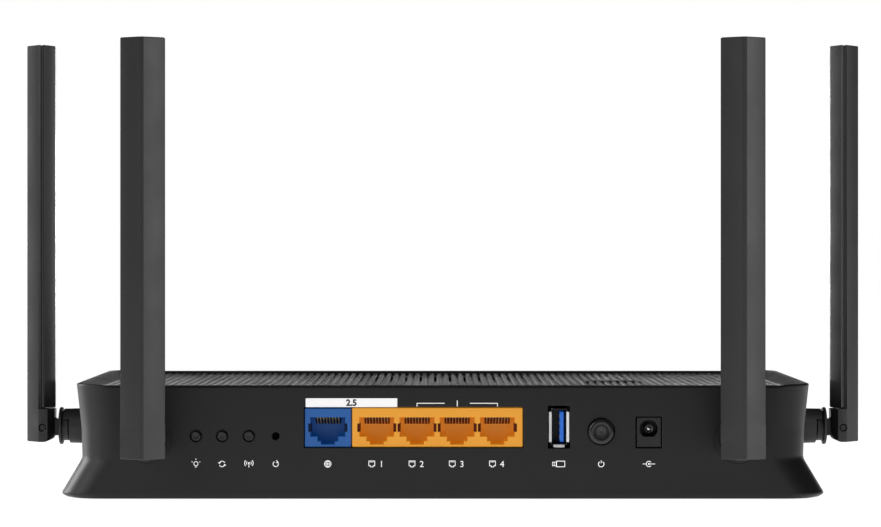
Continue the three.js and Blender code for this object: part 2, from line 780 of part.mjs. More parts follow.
function powerButton() {
  const r = POWER.capRadius;
  return turnedY(
    POWER.x,
    POWER.z,
    [
      [0, -1.6],
      [2.05, -1.6],
      [2.05, -1.25],
      [2.45, -1.25],
      [2.8, -1.6],
      [r - 0.5, -1.6],
      [r, -1.1],
      [r, WALL + GAP],
      [r + 0.9, WALL + GAP],
      [r + 0.9, WALL + GAP + 1],
      [1.6, WALL + GAP + 1],
      [1.6, 8],
      [0, 8],
    ],
    28,
  );
}

function powerSwitch() {
  const body = block(POWER.x - 4, POWER.x + 4, 7, 17, BOARD_TOP_Z + GAP, POWER.z + 4);
  return body.subtract(barY(POWER.x, POWER.z, 2, 6, 8 + POWER.plunge, ROUND_SMALL));
}

for (const [name, x] of Object.entries(SMALL_BUTTON_XS)) {
  addPart(housing, name, smallButton(x), BUTTON_BLACK);
  addPart(housing, name.replace("button", "switch"), pushSwitch(x), SWITCH_BLACK);
}
addPart(housing, "reset_button", resetButton(), BUTTON_BLACK);
addPart(housing, "reset_switch", pushSwitch(RESET_X), SWITCH_BLACK);
addPart(housing, "power_button", powerButton(), BUTTON_BLACK);
addPart(housing, "power_switch", powerSwitch(), SWITCH_BLACK);

// ---------------------------------------------------------------- antennas

// The fixed socket: a tapered tube through the wall with an inner collar, and a hood over its top.
function antennaSocket() {
  const tube = turnedY(0, 0, [
    [3.3, -8.7],
    [6.1, -8.7],
    [6.45, 2.9],
    [7.6, 2.9],
    [7.6, 4.7],
    [3.3, 4.7],
    [3.3, -8.7],
  ]);
  const hood = turnedY(0, 0, [
    [5.55, -10.7],
    [6.05, -10.7],
    [6.1, -8.5],
    [5.55, -8.5],
    [5.55, -10.7],
  ]);
  const below = block(-10, 10, -12, -8.5, -10, 2.5);
  return tube.add(hood.subtract(below));
}

// The turning half of the joint: a shaft in the socket, a collar, a flange and the hinge tongue.
function antennaSwivel() {
  const shaft = turnedY(0, 0, [
    [0, -12.5],
    [6.6, -12.4],
    [6.6, -11.3],
    [5.25, -11.3],
    [5.25, -9.1],
    [3, -9.1],
    [3, 5],
    [3.7, 5],
    [3.2, 6.4],
    [0, 6.4],
  ]);
  const outline = [];
  const arcSteps = 8;
  for (let i = 0; i <= arcSteps; i += 1) {
    const angle = Math.PI / 2 + (Math.PI * i) / arcSteps;
    outline.push([PIN.y + TONGUE_RADIUS * Math.cos(angle), PIN.z + TONGUE_RADIUS * Math.sin(angle)]);
  }
  outline.push([-12, PIN.z - TONGUE_RADIUS]);
  outline.push([-12, PIN.z + TONGUE_RADIUS]);
  const tongue = prismX(outline, -TONGUE_HALF_WIDTH, TONGUE_HALF_WIDTH);
  const eye = barX(PIN.y, PIN.z, PIN.holeRadius, -5, 5, 16);
  const split = block(-0.4, 0.4, 0.5, 8, -5, 5);
  return shaft.add(tongue).subtract(eye).subtract(split);
}

function hingePin() {
  return barX(PIN.y, PIN.z, PIN.radius, -PIN.length / 2, PIN.length / 2, 16);
}

// The blade's outer shell, with the fork that holds the tongue at its foot.
function antennaOuterShell() {
  const topZ = BLADE_BOTTOM_Z + BLADE_LENGTH;
  const half = BLADE_HALF_WIDTH;
  const ridge = RIDGE_HALF_WIDTH;
  const roof = prismZ(
    [
      [-ridge, BLADE_OUTER_Y],
      [ridge, BLADE_OUTER_Y],
      [half, OUTER_EDGE_Y],
      [half, SEAM_OUTER_Y],
      [-half, SEAM_OUTER_Y],
      [-half, OUTER_EDGE_Y],
    ],
    FORK_TOP_Z - 1,
    topZ,
  );
  const hollow = prismZ(
    [
      [-ridge, BLADE_OUTER_Y + SHELL_WALL],
      [ridge, BLADE_OUTER_Y + SHELL_WALL],
      [half - SHELL_WALL, OUTER_EDGE_Y + 0.6],
      [half - SHELL_WALL, SEAM_OUTER_Y + 1],
      [SHELL_WALL - half, SEAM_OUTER_Y + 1],
      [SHELL_WALL - half, OUTER_EDGE_Y + 0.6],
    ],
    FORK_TOP_Z,
    topZ - SHELL_WALL,
  );
  const forkBody = prismZ(
    [
      [-ridge, BLADE_OUTER_Y],
      [ridge, BLADE_OUTER_Y],
      [half, OUTER_EDGE_Y],
      [half, FORK_EDGE_Y],
      [FORK_SLOT_HALF_WIDTH, BLADE_INNER_Y],
      [-FORK_SLOT_HALF_WIDTH, BLADE_INNER_Y],
      [-half, FORK_EDGE_Y],
      [-half, OUTER_EDGE_Y],
    ],
    BLADE_BOTTOM_Z,
    FORK_TOP_Z,
  );
  return roof.subtract(hollow).add(forkBody.intersect(forkOutline())).subtract(forkCuts());
}

// The fork from the side: square outside, rounded at its inner foot so that it swings past the flange.
function forkOutline() {
  const radius = 3.6;
  const steps = 6;
  const y = BLADE_INNER_Y - radius;
  const z = BLADE_BOTTOM_Z + radius;
  const outline = [
    [BLADE_OUTER_Y - 1, FORK_TOP_Z + 1],
    [BLADE_OUTER_Y - 1, BLADE_BOTTOM_Z],
  ];
  for (let i = 0; i <= steps; i += 1) {
    const angle = (-Math.PI / 2) * (1 - i / steps);
    outline.push([y + radius * Math.cos(angle), z + radius * Math.sin(angle)]);
  }
  outline.push([BLADE_INNER_Y, FORK_TOP_Z + 1]);
  return prismX(outline, -BLADE_HALF_WIDTH - 1, BLADE_HALF_WIDTH + 1);
}

// The slot for the tongue, open to the inside and the foot, and the pin's bore.
function forkCuts() {
  const slot = FORK_SLOT_HALF_WIDTH;
  const floorY = PIN.y - TONGUE_RADIUS - 0.4;
  const roofZ = PIN.z + TONGUE_RADIUS + 0.4;
  const opening = block(-slot, slot, floorY, BLADE_INNER_Y + 1, BLADE_BOTTOM_Z - 1, roofZ);
  const bore = barX(PIN.y, PIN.z, PIN.holeRadius, -BLADE_HALF_WIDTH - 1, BLADE_HALF_WIDTH + 1, 16);
  return opening.add(bore);
}

function antennaInnerShell() {
  const z0 = FORK_TOP_Z + GAP;
  const z1 = BLADE_BOTTOM_Z + BLADE_LENGTH;
  const half = BLADE_HALF_WIDTH - SEAM_DEPTH;
  const ridge = RIDGE_HALF_WIDTH;
  const seamY = SEAM_OUTER_Y + GAP;
  const wall = SHELL_WALL;
  const body = prismZ(
    [
      [-half, seamY],
      [half, seamY],
      [half, SEAM_INNER_Y],
      [ridge, BLADE_INNER_Y],
      [-ridge, BLADE_INNER_Y],
      [-half, SEAM_INNER_Y],
    ],
    z0,
    z1,
  );
  const hollow = prismZ(
    [
      [wall - half, seamY - 1],
      [half - wall, seamY - 1],
      [half - wall, SEAM_INNER_Y + 0.2],
      [ridge, BLADE_INNER_Y - wall],
      [-ridge, BLADE_INNER_Y - wall],
      [wall - half, SEAM_INNER_Y + 0.2],
    ],
    z0 + wall,
    z1 - wall,
  );
  return body.subtract(hollow);
}

// The radiating strip: a long arm and a wider foot, on one thin board.
function antennaRadiator() {
  const y0 = -19.2;
  const y1 = -18.4;
  const foot = block(-4.5, 4.5, y0, y1, FORK_TOP_Z + 3, FORK_TOP_Z + 45);
  const arm = block(-1.6, 1.6, y0, y1, FORK_TOP_Z + 44, FORK_TOP_Z + 112);
  return foot.add(arm);
}

// The thin coaxial lead from one socket to its solder pad, through points inside the housing.
function antennaLead(points) {
  const path = new THREE.CatmullRomCurve3(points.map(([x, y, z]) => new THREE.Vector3(x, y, z)));
  const sides = 8;
  const section = new THREE.Shape();
  for (let i = 0; i < sides; i += 1) {
    const angle = (2 * Math.PI * i) / sides;
    const place = [0.7 * Math.cos(angle), 0.7 * Math.sin(angle)];
    if (i) section.lineTo(...place);
    else section.moveTo(...place);
  }
  return solid(new THREE.ExtrudeGeometry(section, { steps: 14, extrudePath: path }));
}

// One whole antenna in its own group, whose origin is on the wall's face at the socket's axis.
function addAntenna(prefix, x, y, z, turnDegrees) {
  const group = new THREE.Group();
  addPart(group, `${prefix}_antenna_socket`, antennaSocket(), HOUSING_BLACK);
  addPart(group, `${prefix}_antenna_swivel`, antennaSwivel(), ANTENNA_BLACK);
  addPart(group, `${prefix}_antenna_hinge_pin`, hingePin(), ANTENNA_BLACK);
  addPart(group, `${prefix}_antenna_outer_shell`, antennaOuterShell(), ANTENNA_BLACK);
  addPart(group, `${prefix}_antenna_inner_shell`, antennaInnerShell(), ANTENNA_BLACK);
  addPart(group, `${prefix}_antenna_radiator`, antennaRadiator(), BOARD_GREEN);
  group.rotation.z = THREE.MathUtils.degToRad(turnDegrees);
  group.position.set(x, y, z);
  housing.add(group);
}

const sideWallX = BASE_HALF_WIDTH - SIDE_SOCKET.wallInset;
for (const [name, side] of [["left", -1], ["right", 1]]) {
  addAntenna(`rear_${name}`, side * REAR_SOCKET.x, 0, REAR_SOCKET.z, 0);
  addAntenna(`side_${name}`, side * sideWallX, SIDE_SOCKET.y, SIDE_SOCKET.z, side * 90);
  const padZ = BOARD_TOP_Z + 1.1;
  const rearLead = [
    [side * REAR_SOCKET.x, 7.2, REAR_SOCKET.z],
    [side * REAR_SOCKET.x, 12, REAR_SOCKET.z],
    [side * (REAR_SOCKET.x - 5), 20, REAR_SOCKET.z],
    [side * 86, 26, padZ + 0.6],
    [side * 80, 28, padZ],
  ];
  const sideLead = [
    [side * (sideWallX - 7.2), SIDE_SOCKET.y, SIDE_SOCKET.z],
    [side * 110, SIDE_SOCKET.y, SIDE_SOCKET.z],
    [side * 98, SIDE_SOCKET.y + 5, SIDE_SOCKET.z - 1],
    [side * 86, SIDE_SOCKET.y + 7, padZ + 0.6],
    [side * 80, SIDE_SOCKET.y + 7, padZ],
  ];
  addPart(housing, `rear_${name}_antenna_lead`, antennaLead(rearLead), CABLE_GREY);
  addPart(housing, `side_${name}_antenna_lead`, antennaLead(sideLead), CABLE_GREY);
}

// ---------------------------------------------------------------- the whole router

// The rear antennas reach behind the rear wall, so the housing sits forward of the footprint's middle.
const reachBehind = -BLADE_OUTER_Y;
housing.position.set(0, (reachBehind - DEPTH) / 2, FOOT_STANDOFF);

const router = new THREE.Group();
router.add(housing);

export default router;
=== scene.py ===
"""Looks of a four-antenna wireless router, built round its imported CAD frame.

Shapes are drawn in millimetres, in the housing's own frame: x to the right along the wall with the
jacks, y forward from that wall's face, and z up from the housing's lower edge.
"""

import json
import math

import bmesh
import bpy
from mathutils import Matrix, Vector

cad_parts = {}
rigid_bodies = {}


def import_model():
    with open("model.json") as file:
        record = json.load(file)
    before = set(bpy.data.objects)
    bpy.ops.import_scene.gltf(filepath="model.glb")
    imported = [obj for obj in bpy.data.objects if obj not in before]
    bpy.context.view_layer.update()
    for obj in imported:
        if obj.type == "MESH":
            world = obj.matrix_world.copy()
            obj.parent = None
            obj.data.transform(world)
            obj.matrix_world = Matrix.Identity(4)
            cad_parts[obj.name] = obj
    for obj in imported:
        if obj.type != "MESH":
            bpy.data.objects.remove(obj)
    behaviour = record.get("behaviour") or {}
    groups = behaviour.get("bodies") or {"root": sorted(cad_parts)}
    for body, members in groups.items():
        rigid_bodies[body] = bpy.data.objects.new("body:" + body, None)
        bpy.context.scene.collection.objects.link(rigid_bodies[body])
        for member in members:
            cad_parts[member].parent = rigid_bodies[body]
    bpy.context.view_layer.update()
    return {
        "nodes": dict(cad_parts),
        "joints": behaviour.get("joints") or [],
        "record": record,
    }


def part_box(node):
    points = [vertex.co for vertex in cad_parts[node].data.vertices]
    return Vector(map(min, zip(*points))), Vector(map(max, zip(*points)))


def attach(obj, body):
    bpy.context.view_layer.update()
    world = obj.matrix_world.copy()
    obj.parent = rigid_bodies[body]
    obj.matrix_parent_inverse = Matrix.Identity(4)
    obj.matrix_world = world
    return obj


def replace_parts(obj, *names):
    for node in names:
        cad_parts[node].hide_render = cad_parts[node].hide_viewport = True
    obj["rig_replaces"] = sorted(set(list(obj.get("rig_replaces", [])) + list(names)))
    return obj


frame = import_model()

MM = 0.001
HOUSING_LOW, HOUSING_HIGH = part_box("main_housing")
HOUSING_FRAME = Matrix.Translation((0, HOUSING_LOW.y, HOUSING_LOW.z)) @ Matrix.Scale(MM, 4)
JOINTS = {joint["name"]: joint for joint in frame["joints"]}


def cad_box(node):
    """A CAD node's lowest and highest corners in millimetres, in the housing's frame."""
    to_housing = HOUSING_FRAME.inverted()
    low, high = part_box(node)
    return to_housing @ low, to_housing @ high


# ---------------------------------------------------------------- driving sizes

BASE_HALF_WIDTH = (HOUSING_HIGH.x - HOUSING_LOW.x) / 2 / MM
DEPTH = (HOUSING_HIGH.y - HOUSING_LOW.y) / MM
TOP_Z = cad_box("top_vent_panel")[1].z
WALL = 2.2
CUT_DEPTH = WALL + 1
CORNER_RADIUS = 12.5
CORNER_STEPS = 18
GAP = 0.3

WAIST_INSET = 7.25
WAIST_Z = 13.2
SKIRT_Z = 0.95
TOP_INSET = 5.4

RIM_WIDTH = 3.4
RIM_RISE_REAR = 0.4
RIM_RISE_FRONT = 1.25
RIM_FADE = (106, 118)
SIDE_TRENCH_DEPTH = 0.8
REAR_LIP_DROP = 0.45
LEDGE_WIDTH = 4.5

RIB_PITCH = 2.67
GROOVE_DEPTH = 0.9
GROOVE_HALF_WIDTH = 0.665

ROUND = 64
STAND_UP = Matrix.Rotation(math.pi / 2, 4, "X")
AXIS_RADIUS = 1e-5  # stands in for a point on a turned piece's axis
SMOOTH_BELOW = 32  # degrees between two faces that still shade as one
RIM_FROM_Z = 37
TRENCH_DROP = 0.35

# ---------------------------------------------------------------- mesh helpers


def add_object(name, data):
    obj = bpy.data.objects.new(name, data)
    bpy.context.scene.collection.objects.link(obj)
    return obj


def new_object(name, vertices, faces):
    mesh = bpy.data.meshes.new(name)
    mesh.from_pydata([tuple(v) for v in vertices], [], faces)
    mesh.validate()
    obj = add_object(name, mesh)
    tidy_mesh(obj)
    return obj


def tidy_mesh(obj, distance=1e-4):
    """Merges doubled points and turns every face outwards."""
    work = bmesh.new()
    work.from_mesh(obj.data)
    bmesh.ops.remove_doubles(work, verts=work.verts, dist=distance)
    bmesh.ops.recalc_face_normals(work, faces=work.faces)
    work.to_mesh(obj.data)
    work.free()


def apply_modifiers(obj):
    depsgraph = bpy.context.evaluated_depsgraph_get()
    made = bpy.data.meshes.new_from_object(obj.evaluated_get(depsgraph))
    obj.modifiers.clear()
    obj.data = made


def remove(obj):
    bpy.data.objects.remove(obj, do_unlink=True)


def combine(obj, others, operation):
    """Joins, cuts or keeps the overlap of obj and each of the others, which are used up."""
    for other in others:
        modifier = obj.modifiers.new(operation.lower(), "BOOLEAN")
        modifier.operation = operation
        modifier.solver = "EXACT"
        modifier.object = other
    bpy.context.view_layer.update()
    apply_modifiers(obj)
    for other in others:
        remove(other)
    return obj


def cut(obj, cutters):
    return combine(obj, cutters, "DIFFERENCE")


def fuse(obj, others):
    return combine(obj, others, "UNION")


def join(name, objects):
    """Puts separate closed shells into one object."""
    work = bmesh.new()
    for obj in objects:
        work.from_mesh(obj.data)
    mesh = bpy.data.meshes.new(name)
    work.to_mesh(mesh)
    work.free()
    for obj in objects:
        remove(obj)
    return add_object(name, mesh)


def loft(name, rings, wrap=False):
    """A skin through rings of equal point count. It closes on itself, or is capped at both ends."""
    count, levels = len(rings[0]), len(rings)
    faces = []
    for level in range(levels if wrap else levels - 1):
        lower = level * count
        upper = (level + 1) % levels * count
        for i in range(count):
            following = (i + 1) % count
            faces.append((lower + i, lower + following, upper + following, upper + i))
    if not wrap:
        faces.append(tuple(range(count - 1, -1, -1)))
        faces.append(tuple(range((levels - 1) * count, levels * count)))
    return new_object(name, [point for ring in rings for point in ring], faces)


def ring_z(outline, z):
    return [(x, y, z) for x, y in outline]


def ring_y(outline, y):
    return [(x, y, z) for x, z in outline]


def ring_x(outline, x):
    return [(x, y, z) for y, z in outline]


def offset_outline(outline, distance):
    """The outline moved outwards by a distance, with mitred corners. It runs anticlockwise."""
    moved = []
    count = len(outline)
    for i, point in enumerate(outline):
        here = Vector(point)
        before = (here - Vector(outline[i - 1])).normalized()
        after = (Vector(outline[(i + 1) % count]) - here).normalized()
        normal_before = Vector((before.y, -before.x))
        normal_after = Vector((after.y, -after.x))
        bisector = (normal_before + normal_after).normalized()
        reach = distance / max(0.3, bisector.dot(normal_before))
        moved.append(tuple(here + bisector * reach))
    return moved


def corner_arc(before, corner, after, radius, share, steps):
    """Points along the arc that cuts a corner, which takes up at most a share of either side."""
    here = Vector(corner)
    to_before, to_after = Vector(before) - here, Vector(after) - here
    reach = radius / math.tan(to_before.angle(to_after) / 2)
    reach = min(reach, to_before.length * share, to_after.length * share)
    start = here + to_before.normalized() * reach
    end = here + to_after.normalized() * reach
    arc = []
    for step in range(steps + 1):
        t = step / steps
        arc.append(tuple(start * (1 - t) ** 2 + here * 2 * t * (1 - t) + end * t**2))
    return arc


def rounded_outline(outline, radius, steps=3):
    """The outline with an arc at each corner, where its sides leave room for one."""
    made = []
    for i, point in enumerate(outline):
        made += corner_arc(outline[i - 1], point, outline[(i + 1) % len(outline)], radius, 0.45, steps)
    return made


def mirrored(points):
    """Right half of an outline, from front to rear, followed by its mirror image."""
    return points + [(-x, y) for x, y in reversed(points)]


def side_span(x, side, near, far):
    """The two ends, in rising order, of a stretch that lies to one side of x."""
    return sorted((x + side * near, x + side * far))


def arc_points(x, z, radius, start, end, steps=16):
    angles = [math.radians(start + (end - start) * i / steps) for i in range(steps + 1)]
    return [(x + radius * math.cos(a), z + radius * math.sin(a)) for a in angles]


def circle(x, z, radius, steps=ROUND):
    angles = [2 * math.pi * i / steps for i in range(steps)]
    return [(x + radius * math.cos(a), z + radius * math.sin(a)) for a in angles]


def rectangle(x0, x1, z0, z1, radius=0.0, steps=4):
    corners = [(x0, z0), (x1, z0), (x1, z1), (x0, z1)]
    return rounded_outline(corners, radius, steps) if radius else corners


def stadium(x, y, length, width, steps=10):
    radius = width / 2
    reach = length / 2 - radius
    outline = []
    for side in (1, -1):
        outline += arc_points(x + side * reach, y, radius, -90 * side, 180 - 90 * side, steps)
    return outline


def prism(name, outline, low, high, axis="z", edge=0.0):
    """An outline drawn from low to high along an axis, with its end edges bevelled."""
    ring = {"x": ring_x, "y": ring_y, "z": ring_z}[axis]
    if not edge:
        return loft(name, [ring(outline, low), ring(outline, high)])
    small = offset_outline(outline, -edge)
    levels = ((small, low), (outline, low + edge), (outline, high - edge), (small, high))
    return loft(name, [ring(points, at) for points, at in levels])


def block(name, x0, x1, y0, y1, z0, z1):
    return prism(name, rectangle(x0, x1, z0, z1), y0, y1, "y")


def mouth(name, outline, depth, chamfer=0.25, face=0.0):
    """A cutter into the rear wall, which leaves a small chamfer round its mouth."""
    wide = offset_outline(outline, chamfer)
    levels = ((wide, face - 2), (wide, face), (outline, face + chamfer), (outline, depth))
    return loft(name, [ring_y(points, y) for points, y in levels])


def turned(name, profile, x=0.0, z=0.0, steps=ROUND):
    """A turned piece along Y. The profile's points are (radius, y), and it may close on itself."""
    rings = [ring_y(circle(x, z, max(radius, AXIS_RADIUS), steps), y) for radius, y in profile]
    closed = profile[0] == profile[-1]
    return loft(name, rings[:-1] if closed else rings, wrap=closed)


def place_piece(obj, matrix, body, material, nodes=(), sharp=SMOOTH_BELOW):
    """Moves a finished piece into the row frame, paints it and hands it to the frame."""
    obj.data.transform(matrix)
    obj.data.materials.clear()
    obj.data.materials.append(material)
    obj.data.polygons.foreach_set("use_smooth", [True] * len(obj.data.polygons))
    obj.data.set_sharp_from_angle(angle=math.radians(sharp))
    obj.data.update()
    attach(obj, body)
    if nodes:
        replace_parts(obj, *nodes)
    return obj


# ---------------------------------------------------------------- materials


class Paint:
    """A node material under construction."""

    def __init__(self, name):
        self.material = bpy.data.materials.new(name)
        self.material.use_nodes = True
        self.tree = self.material.node_tree
        self.shader = self.tree.nodes["Principled BSDF"]
        self.place = self.node("TexCoord").outputs["Object"]

    def set(self, target, source):
        """Gives an input another node's output, or a constant."""
        if isinstance(source, bpy.types.NodeSocket):
            self.tree.links.new(source, target)
        else:
            target.default_value = source

    def node(self, kind, inputs=()):
        node = self.tree.nodes.new("ShaderNode" + kind)
        for name, source in dict(inputs).items():
            self.set(node.inputs[name], source)
        return node

    def feed(self, socket, source):
        self.set(self.shader.inputs[socket], source)

    def noise(self, grain_mm, detail=2.0, roughness=0.5, stretch=(1, 1, 1)):
        """Noise whose grain is about that many millimetres across."""
        source = self.place
        if stretch != (1, 1, 1):
            source = self.node("Mapping", {"Scale": stretch, "Vector": source}).outputs["Vector"]
        scale = 1 / (grain_mm * MM)
        inputs = {"Scale": scale, "Detail": detail, "Roughness": roughness, "Vector": source}
        return self.node("TexNoise", inputs).outputs["Fac"]

    def ramp(self, value, low, high, positions=(0.3, 0.7)):
        """A colour or grey that runs from low to high as the value rises."""
        node = self.node("ValToRGB", {"Fac": value})
        for element, position, level in zip(node.color_ramp.elements, positions, (low, high)):
            colour = level if hasattr(level, "__len__") else (level, level, level)
            element.position = position
            element.color = (*colour, 1.0)
        return node.outputs["Color"]

    def bump(self, height, depth_mm):
        return self.node("Bump", {"Distance": depth_mm * MM, "Height": height}).outputs["Normal"]

    def edge_mask(self, radius_mm):
        """White on rounded-over edges and black on flats."""
        bevel = self.node("Bevel", {"Radius": radius_mm * MM})
        bevel.samples = 4
        product = self.node("VectorMath")
        product.operation = "DOT_PRODUCT"
        for target, source in zip(product.inputs, (bevel, self.node("NewGeometry"))):
            self.set(target, source.outputs["Normal"])
        return self.ramp(product.outputs["Value"], 1.0, 0.0, (0.9, 0.995))

    def mix(self, share, first, second):
        node = self.node("Mix")
        node.data_type = "RGBA"
        self.set(node.inputs["Factor"], share)
        for source, socket in ((first, "A"), (second, "B")):
            colour = (*source, 1.0) if hasattr(source, "__len__") else source
            self.set(node.inputs[socket], colour)
        return node.outputs["Result"]


def shaded(colour, factor):
    return tuple(min(1.0, c * factor) for c in colour)


def moulded(
    name, colour, roughness, grain_mm=0.15, grain_depth=0.003, mottle=0.06, wear=0.0, specular=0.5, painted_glow=None
):
    """Moulded plastic: a fine etched grain, faint mottling, and roughness that varies with handling.

    The glow colour is painted light: an emission that brightens the plastic and its hollows as if light
    passed through it from all sides.
    """
    paint = Paint(name)
    grain = paint.noise(grain_mm, 3, 0.6)
    dark = shaded(colour, 1 - mottle)
    tint = paint.ramp(paint.noise(22, 3, 0.55), dark, shaded(colour, 1 + mottle))
    speck = paint.ramp(paint.noise(grain_mm * 1.3, 1), dark, shaded(colour, 1 + 1.6 * mottle))
    base = paint.mix(paint.ramp(grain, 0.25, 0.75), tint, speck)
    if wear:
        rubbed = paint.ramp(paint.edge_mask(0.5), 0.0, wear, (0.2, 1.0))
        base = paint.mix(rubbed, base, shaded(colour, 2.2))
    paint.feed("Base Color", base)
    paint.feed("Roughness", paint.ramp(paint.noise(14, 4, 0.6), roughness - 0.05, roughness + 0.05))
    paint.feed("Normal", paint.bump(grain, grain_depth))
    paint.feed("Specular IOR Level", specular)
    # Painted light: an emission that brightens the plastic as if lit from inside.
    if painted_glow:
        paint.feed("Emission Color", (*painted_glow, 1))
        paint.feed("Emission Strength", 1.0)
    return paint.material


def metal(name, colour, roughness, stretch=(1, 1, 1), grain_mm=0.4, metallic=1.0):
    """Plated or drawn metal with fine lines and faint tarnish."""
    paint = Paint(name)
    lines = paint.noise(grain_mm, 4, 0.6, stretch)
    tarnish = paint.noise(6, 3, 0.6)
    paint.feed("Base Color", paint.ramp(tarnish, shaded(colour, 0.8), shaded(colour, 1.05)))
    paint.feed("Roughness", paint.ramp(lines, roughness * 0.75, roughness * 1.3))
    paint.feed("Normal", paint.bump(lines, 0.004))
    paint.feed("Metallic", metallic)
    return paint.material


def board_laminate():
    """Circuit board: solder resist, with traces as lighter lines."""
    paint = Paint("board_laminate")
    cells = paint.node("TexVoronoi")
    cells.distance = "MANHATTAN"
    cells.feature = "DISTANCE_TO_EDGE"
    paint.set(cells.inputs["Scale"], 1 / (4 * MM))
    paint.set(cells.inputs["Vector"], paint.place)
    distance = cells.outputs["Distance"]
    paint.feed("Base Color", paint.ramp(distance, (0.05, 0.2, 0.09), (0.02, 0.09, 0.04), (0.04, 0.08)))
    paint.feed("Roughness", paint.ramp(paint.noise(3), 0.3, 0.5))
    paint.feed("Normal", paint.bump(distance, 0.02))
    return paint.material


def smoked_window():
    """Dark satin window, with a faint flow ripple and dust-fine scratches."""
    paint = Paint("smoked_window")
    ripple = paint.noise(9, 2)
    scratch = paint.noise(0.6, 5, 0.7, (0.2, 6, 1))
    paint.feed("Base Color", paint.ramp(ripple, (0.014, 0.015, 0.017), (0.024, 0.025, 0.028)))
    paint.feed("Roughness", paint.ramp(scratch, 0.35, 0.5))
    paint.feed("Specular IOR Level", 0.2)
    paint.feed("Normal", paint.bump(ripple, 0.01))
    return paint.material


def frosted_light():
    """An unlit light guide, with a cloudy core."""
    paint = Paint("light_guide")
    colour = (0.8, 0.84, 0.86)
    cloud = paint.noise(1.2, 3)
    paint.feed("Base Color", paint.ramp(cloud, shaded(colour, 0.85), colour))
    paint.feed("Roughness", paint.ramp(cloud, 0.35, 0.5))
    paint.feed("Normal", paint.bump(cloud, 0.01))
    return paint.material


ANTENNA_BLACK = moulded("antenna_matte", (0.0135, 0.0135, 0.0138), 0.5, 0.45, 0.03, 0.22, 0.2)
SOCKET_BLACK = moulded("socket_matte", (0.009, 0.009, 0.0093), 0.5, 0.2, 0.006, wear=0.15)
POWER_BLACK = moulded("power_gloss", (0.013, 0.013, 0.014), 0.2, grain_depth=0.002, wear=0.3)
# Painted shade: near-black for the reset plunger, so that its hole reads as shaded.
HOLE_PAINTED_SHADE = moulded("hole_black", (0.003, 0.003, 0.003), 0.8, grain_depth=0.002, specular=0.1)
# Painted shade: darker copies of the jack colours, for the comb ribs and slot liners deep in the cavities.
COMB_RED_PAINTED_SHADE = moulded("comb_red", (0.1, 0.014, 0.003), 0.6, specular=0.15)
COMB_BLUE_PAINTED_SHADE = moulded("comb_blue", (0.003, 0.01, 0.04), 0.6, specular=0.15)
PRINT_BLACK = moulded("print_black", (0.012, 0.012, 0.012), 0.5, 0.12, 0.002, mottle=0.1)
PRINT_GREY = moulded("print_grey", (0.16, 0.16, 0.165), 0.5, 0.12, 0.002, mottle=0.05)
# Painted shade: nearly black steel for the data socket's shell, standing in for the shade inside it.
STEEL_PAINTED_SHADE = metal("dark_steel", (0.05, 0.05, 0.052), 0.35)
SLEEVE_STEEL = metal("sleeve_steel", (0.3, 0.3, 0.31), 0.35)
LIP_STEEL = metal("lip_steel", (0.9, 0.9, 0.9), 0.4, metallic=0.25)

SLOT_MATERIALS = {
    "housing_plastic": moulded(
        "housing_satin", (0.007, 0.007, 0.0072), 0.42, 0.18, 0.004, wear=0.25, specular=0.4
    ),
    "panel_plastic": moulded("panel_satin", (0.0125, 0.0125, 0.0128), 0.42, 0.2, 0.006),
    "antenna_plastic": ANTENNA_BLACK,
    "socket_plastic": SOCKET_BLACK,
    "button_plastic": moulded("button_satin", (0.009, 0.009, 0.0093), 0.33, wear=0.3),
    "inlet_black": moulded("inlet_satin", (0.008, 0.008, 0.0085), 0.45, grain_depth=0.004, wear=0.2),
    "switch_black": moulded("switch_matte", (0.03, 0.03, 0.032), 0.6, 0.25, 0.012),
    "window_smoke": smoked_window(),
    "light_pipe_clear": frosted_light(),
    "foot_rubber": moulded("foot_rubber", (0.012, 0.012, 0.013), 0.85, 0.35, 0.03, 0.15),
    # The jack and socket plastics glow: painted light that brightens their cavities.
    "jack_orange": moulded("jack_orange", (0.8, 0.34, 0.03), 0.42, mottle=0.03, painted_glow=(0.17, 0.07, 0.003)),
    "jack_blue": moulded("jack_blue", (0.014, 0.1, 0.34), 0.42, mottle=0.04, painted_glow=(0.001, 0.015, 0.06)),
    "usb_blue": moulded("usb_blue", (0.02, 0.15, 0.62), 0.38, mottle=0.04, painted_glow=(0.003, 0.03, 0.15)),
    "cable_grey": moulded("cable_jacket", (0.05, 0.05, 0.052), 0.55, 0.25, 0.012),
    "board_green": board_laminate(),
    # The print glows: painted light that makes the marks brighter.
    "print_white": moulded(
        "print_white", (0.86, 0.86, 0.86), 0.5, 0.12, 0.002, mottle=0.03, painted_glow=(0.3, 0.3, 0.3)
    ),
    "contact_gold": metal("contact_gold", (0.95, 0.7, 0.34), 0.42, (1, 0.2, 1), metallic=0.6),
    "screw_steel": metal("screw_steel", (0.4, 0.4, 0.41), 0.35, (1, 1, 0.2)),
    "shield_steel": metal("bright_steel", (0.68, 0.68, 0.7), 0.2, (1, 0.15, 1)),
    "heatsink_aluminium": metal("heatsink_aluminium", (0.55, 0.56, 0.58), 0.4, (1, 0.1, 1)),
}


def house(obj, slot, nodes=(), material=None, body="housing", sharp=SMOOTH_BELOW):
    """Places a piece that was drawn in the housing's frame."""
    return place_piece(obj, HOUSING_FRAME, body, material or SLOT_MATERIALS[slot], nodes, sharp)


# ---------------------------------------------------------------- the housing


def plan_ring(half, rear, front, radius, height):
    """A rounded rectangle seen from above. height gives z at each (x, y)."""
    corners = (
        (half - radius, rear + radius, -90),
        (half - radius, front - radius, 0),
        (radius - half, front - radius, 90),
        (radius - half, rear + radius, 180),
    )
    ring = []
    for x, y, start in corners:
        ring += [(*at, height(*at)) for at in arc_points(x, y, radius, start, start + 90, CORNER_STEPS)]
    return ring


def smooth_share(value, start, end):
    """0 before start and 1 after end, with a soft run between."""
    share = min(1.0, max(0.0, (value - start) / (end - start)))
    return share * share * (3 - 2 * share)


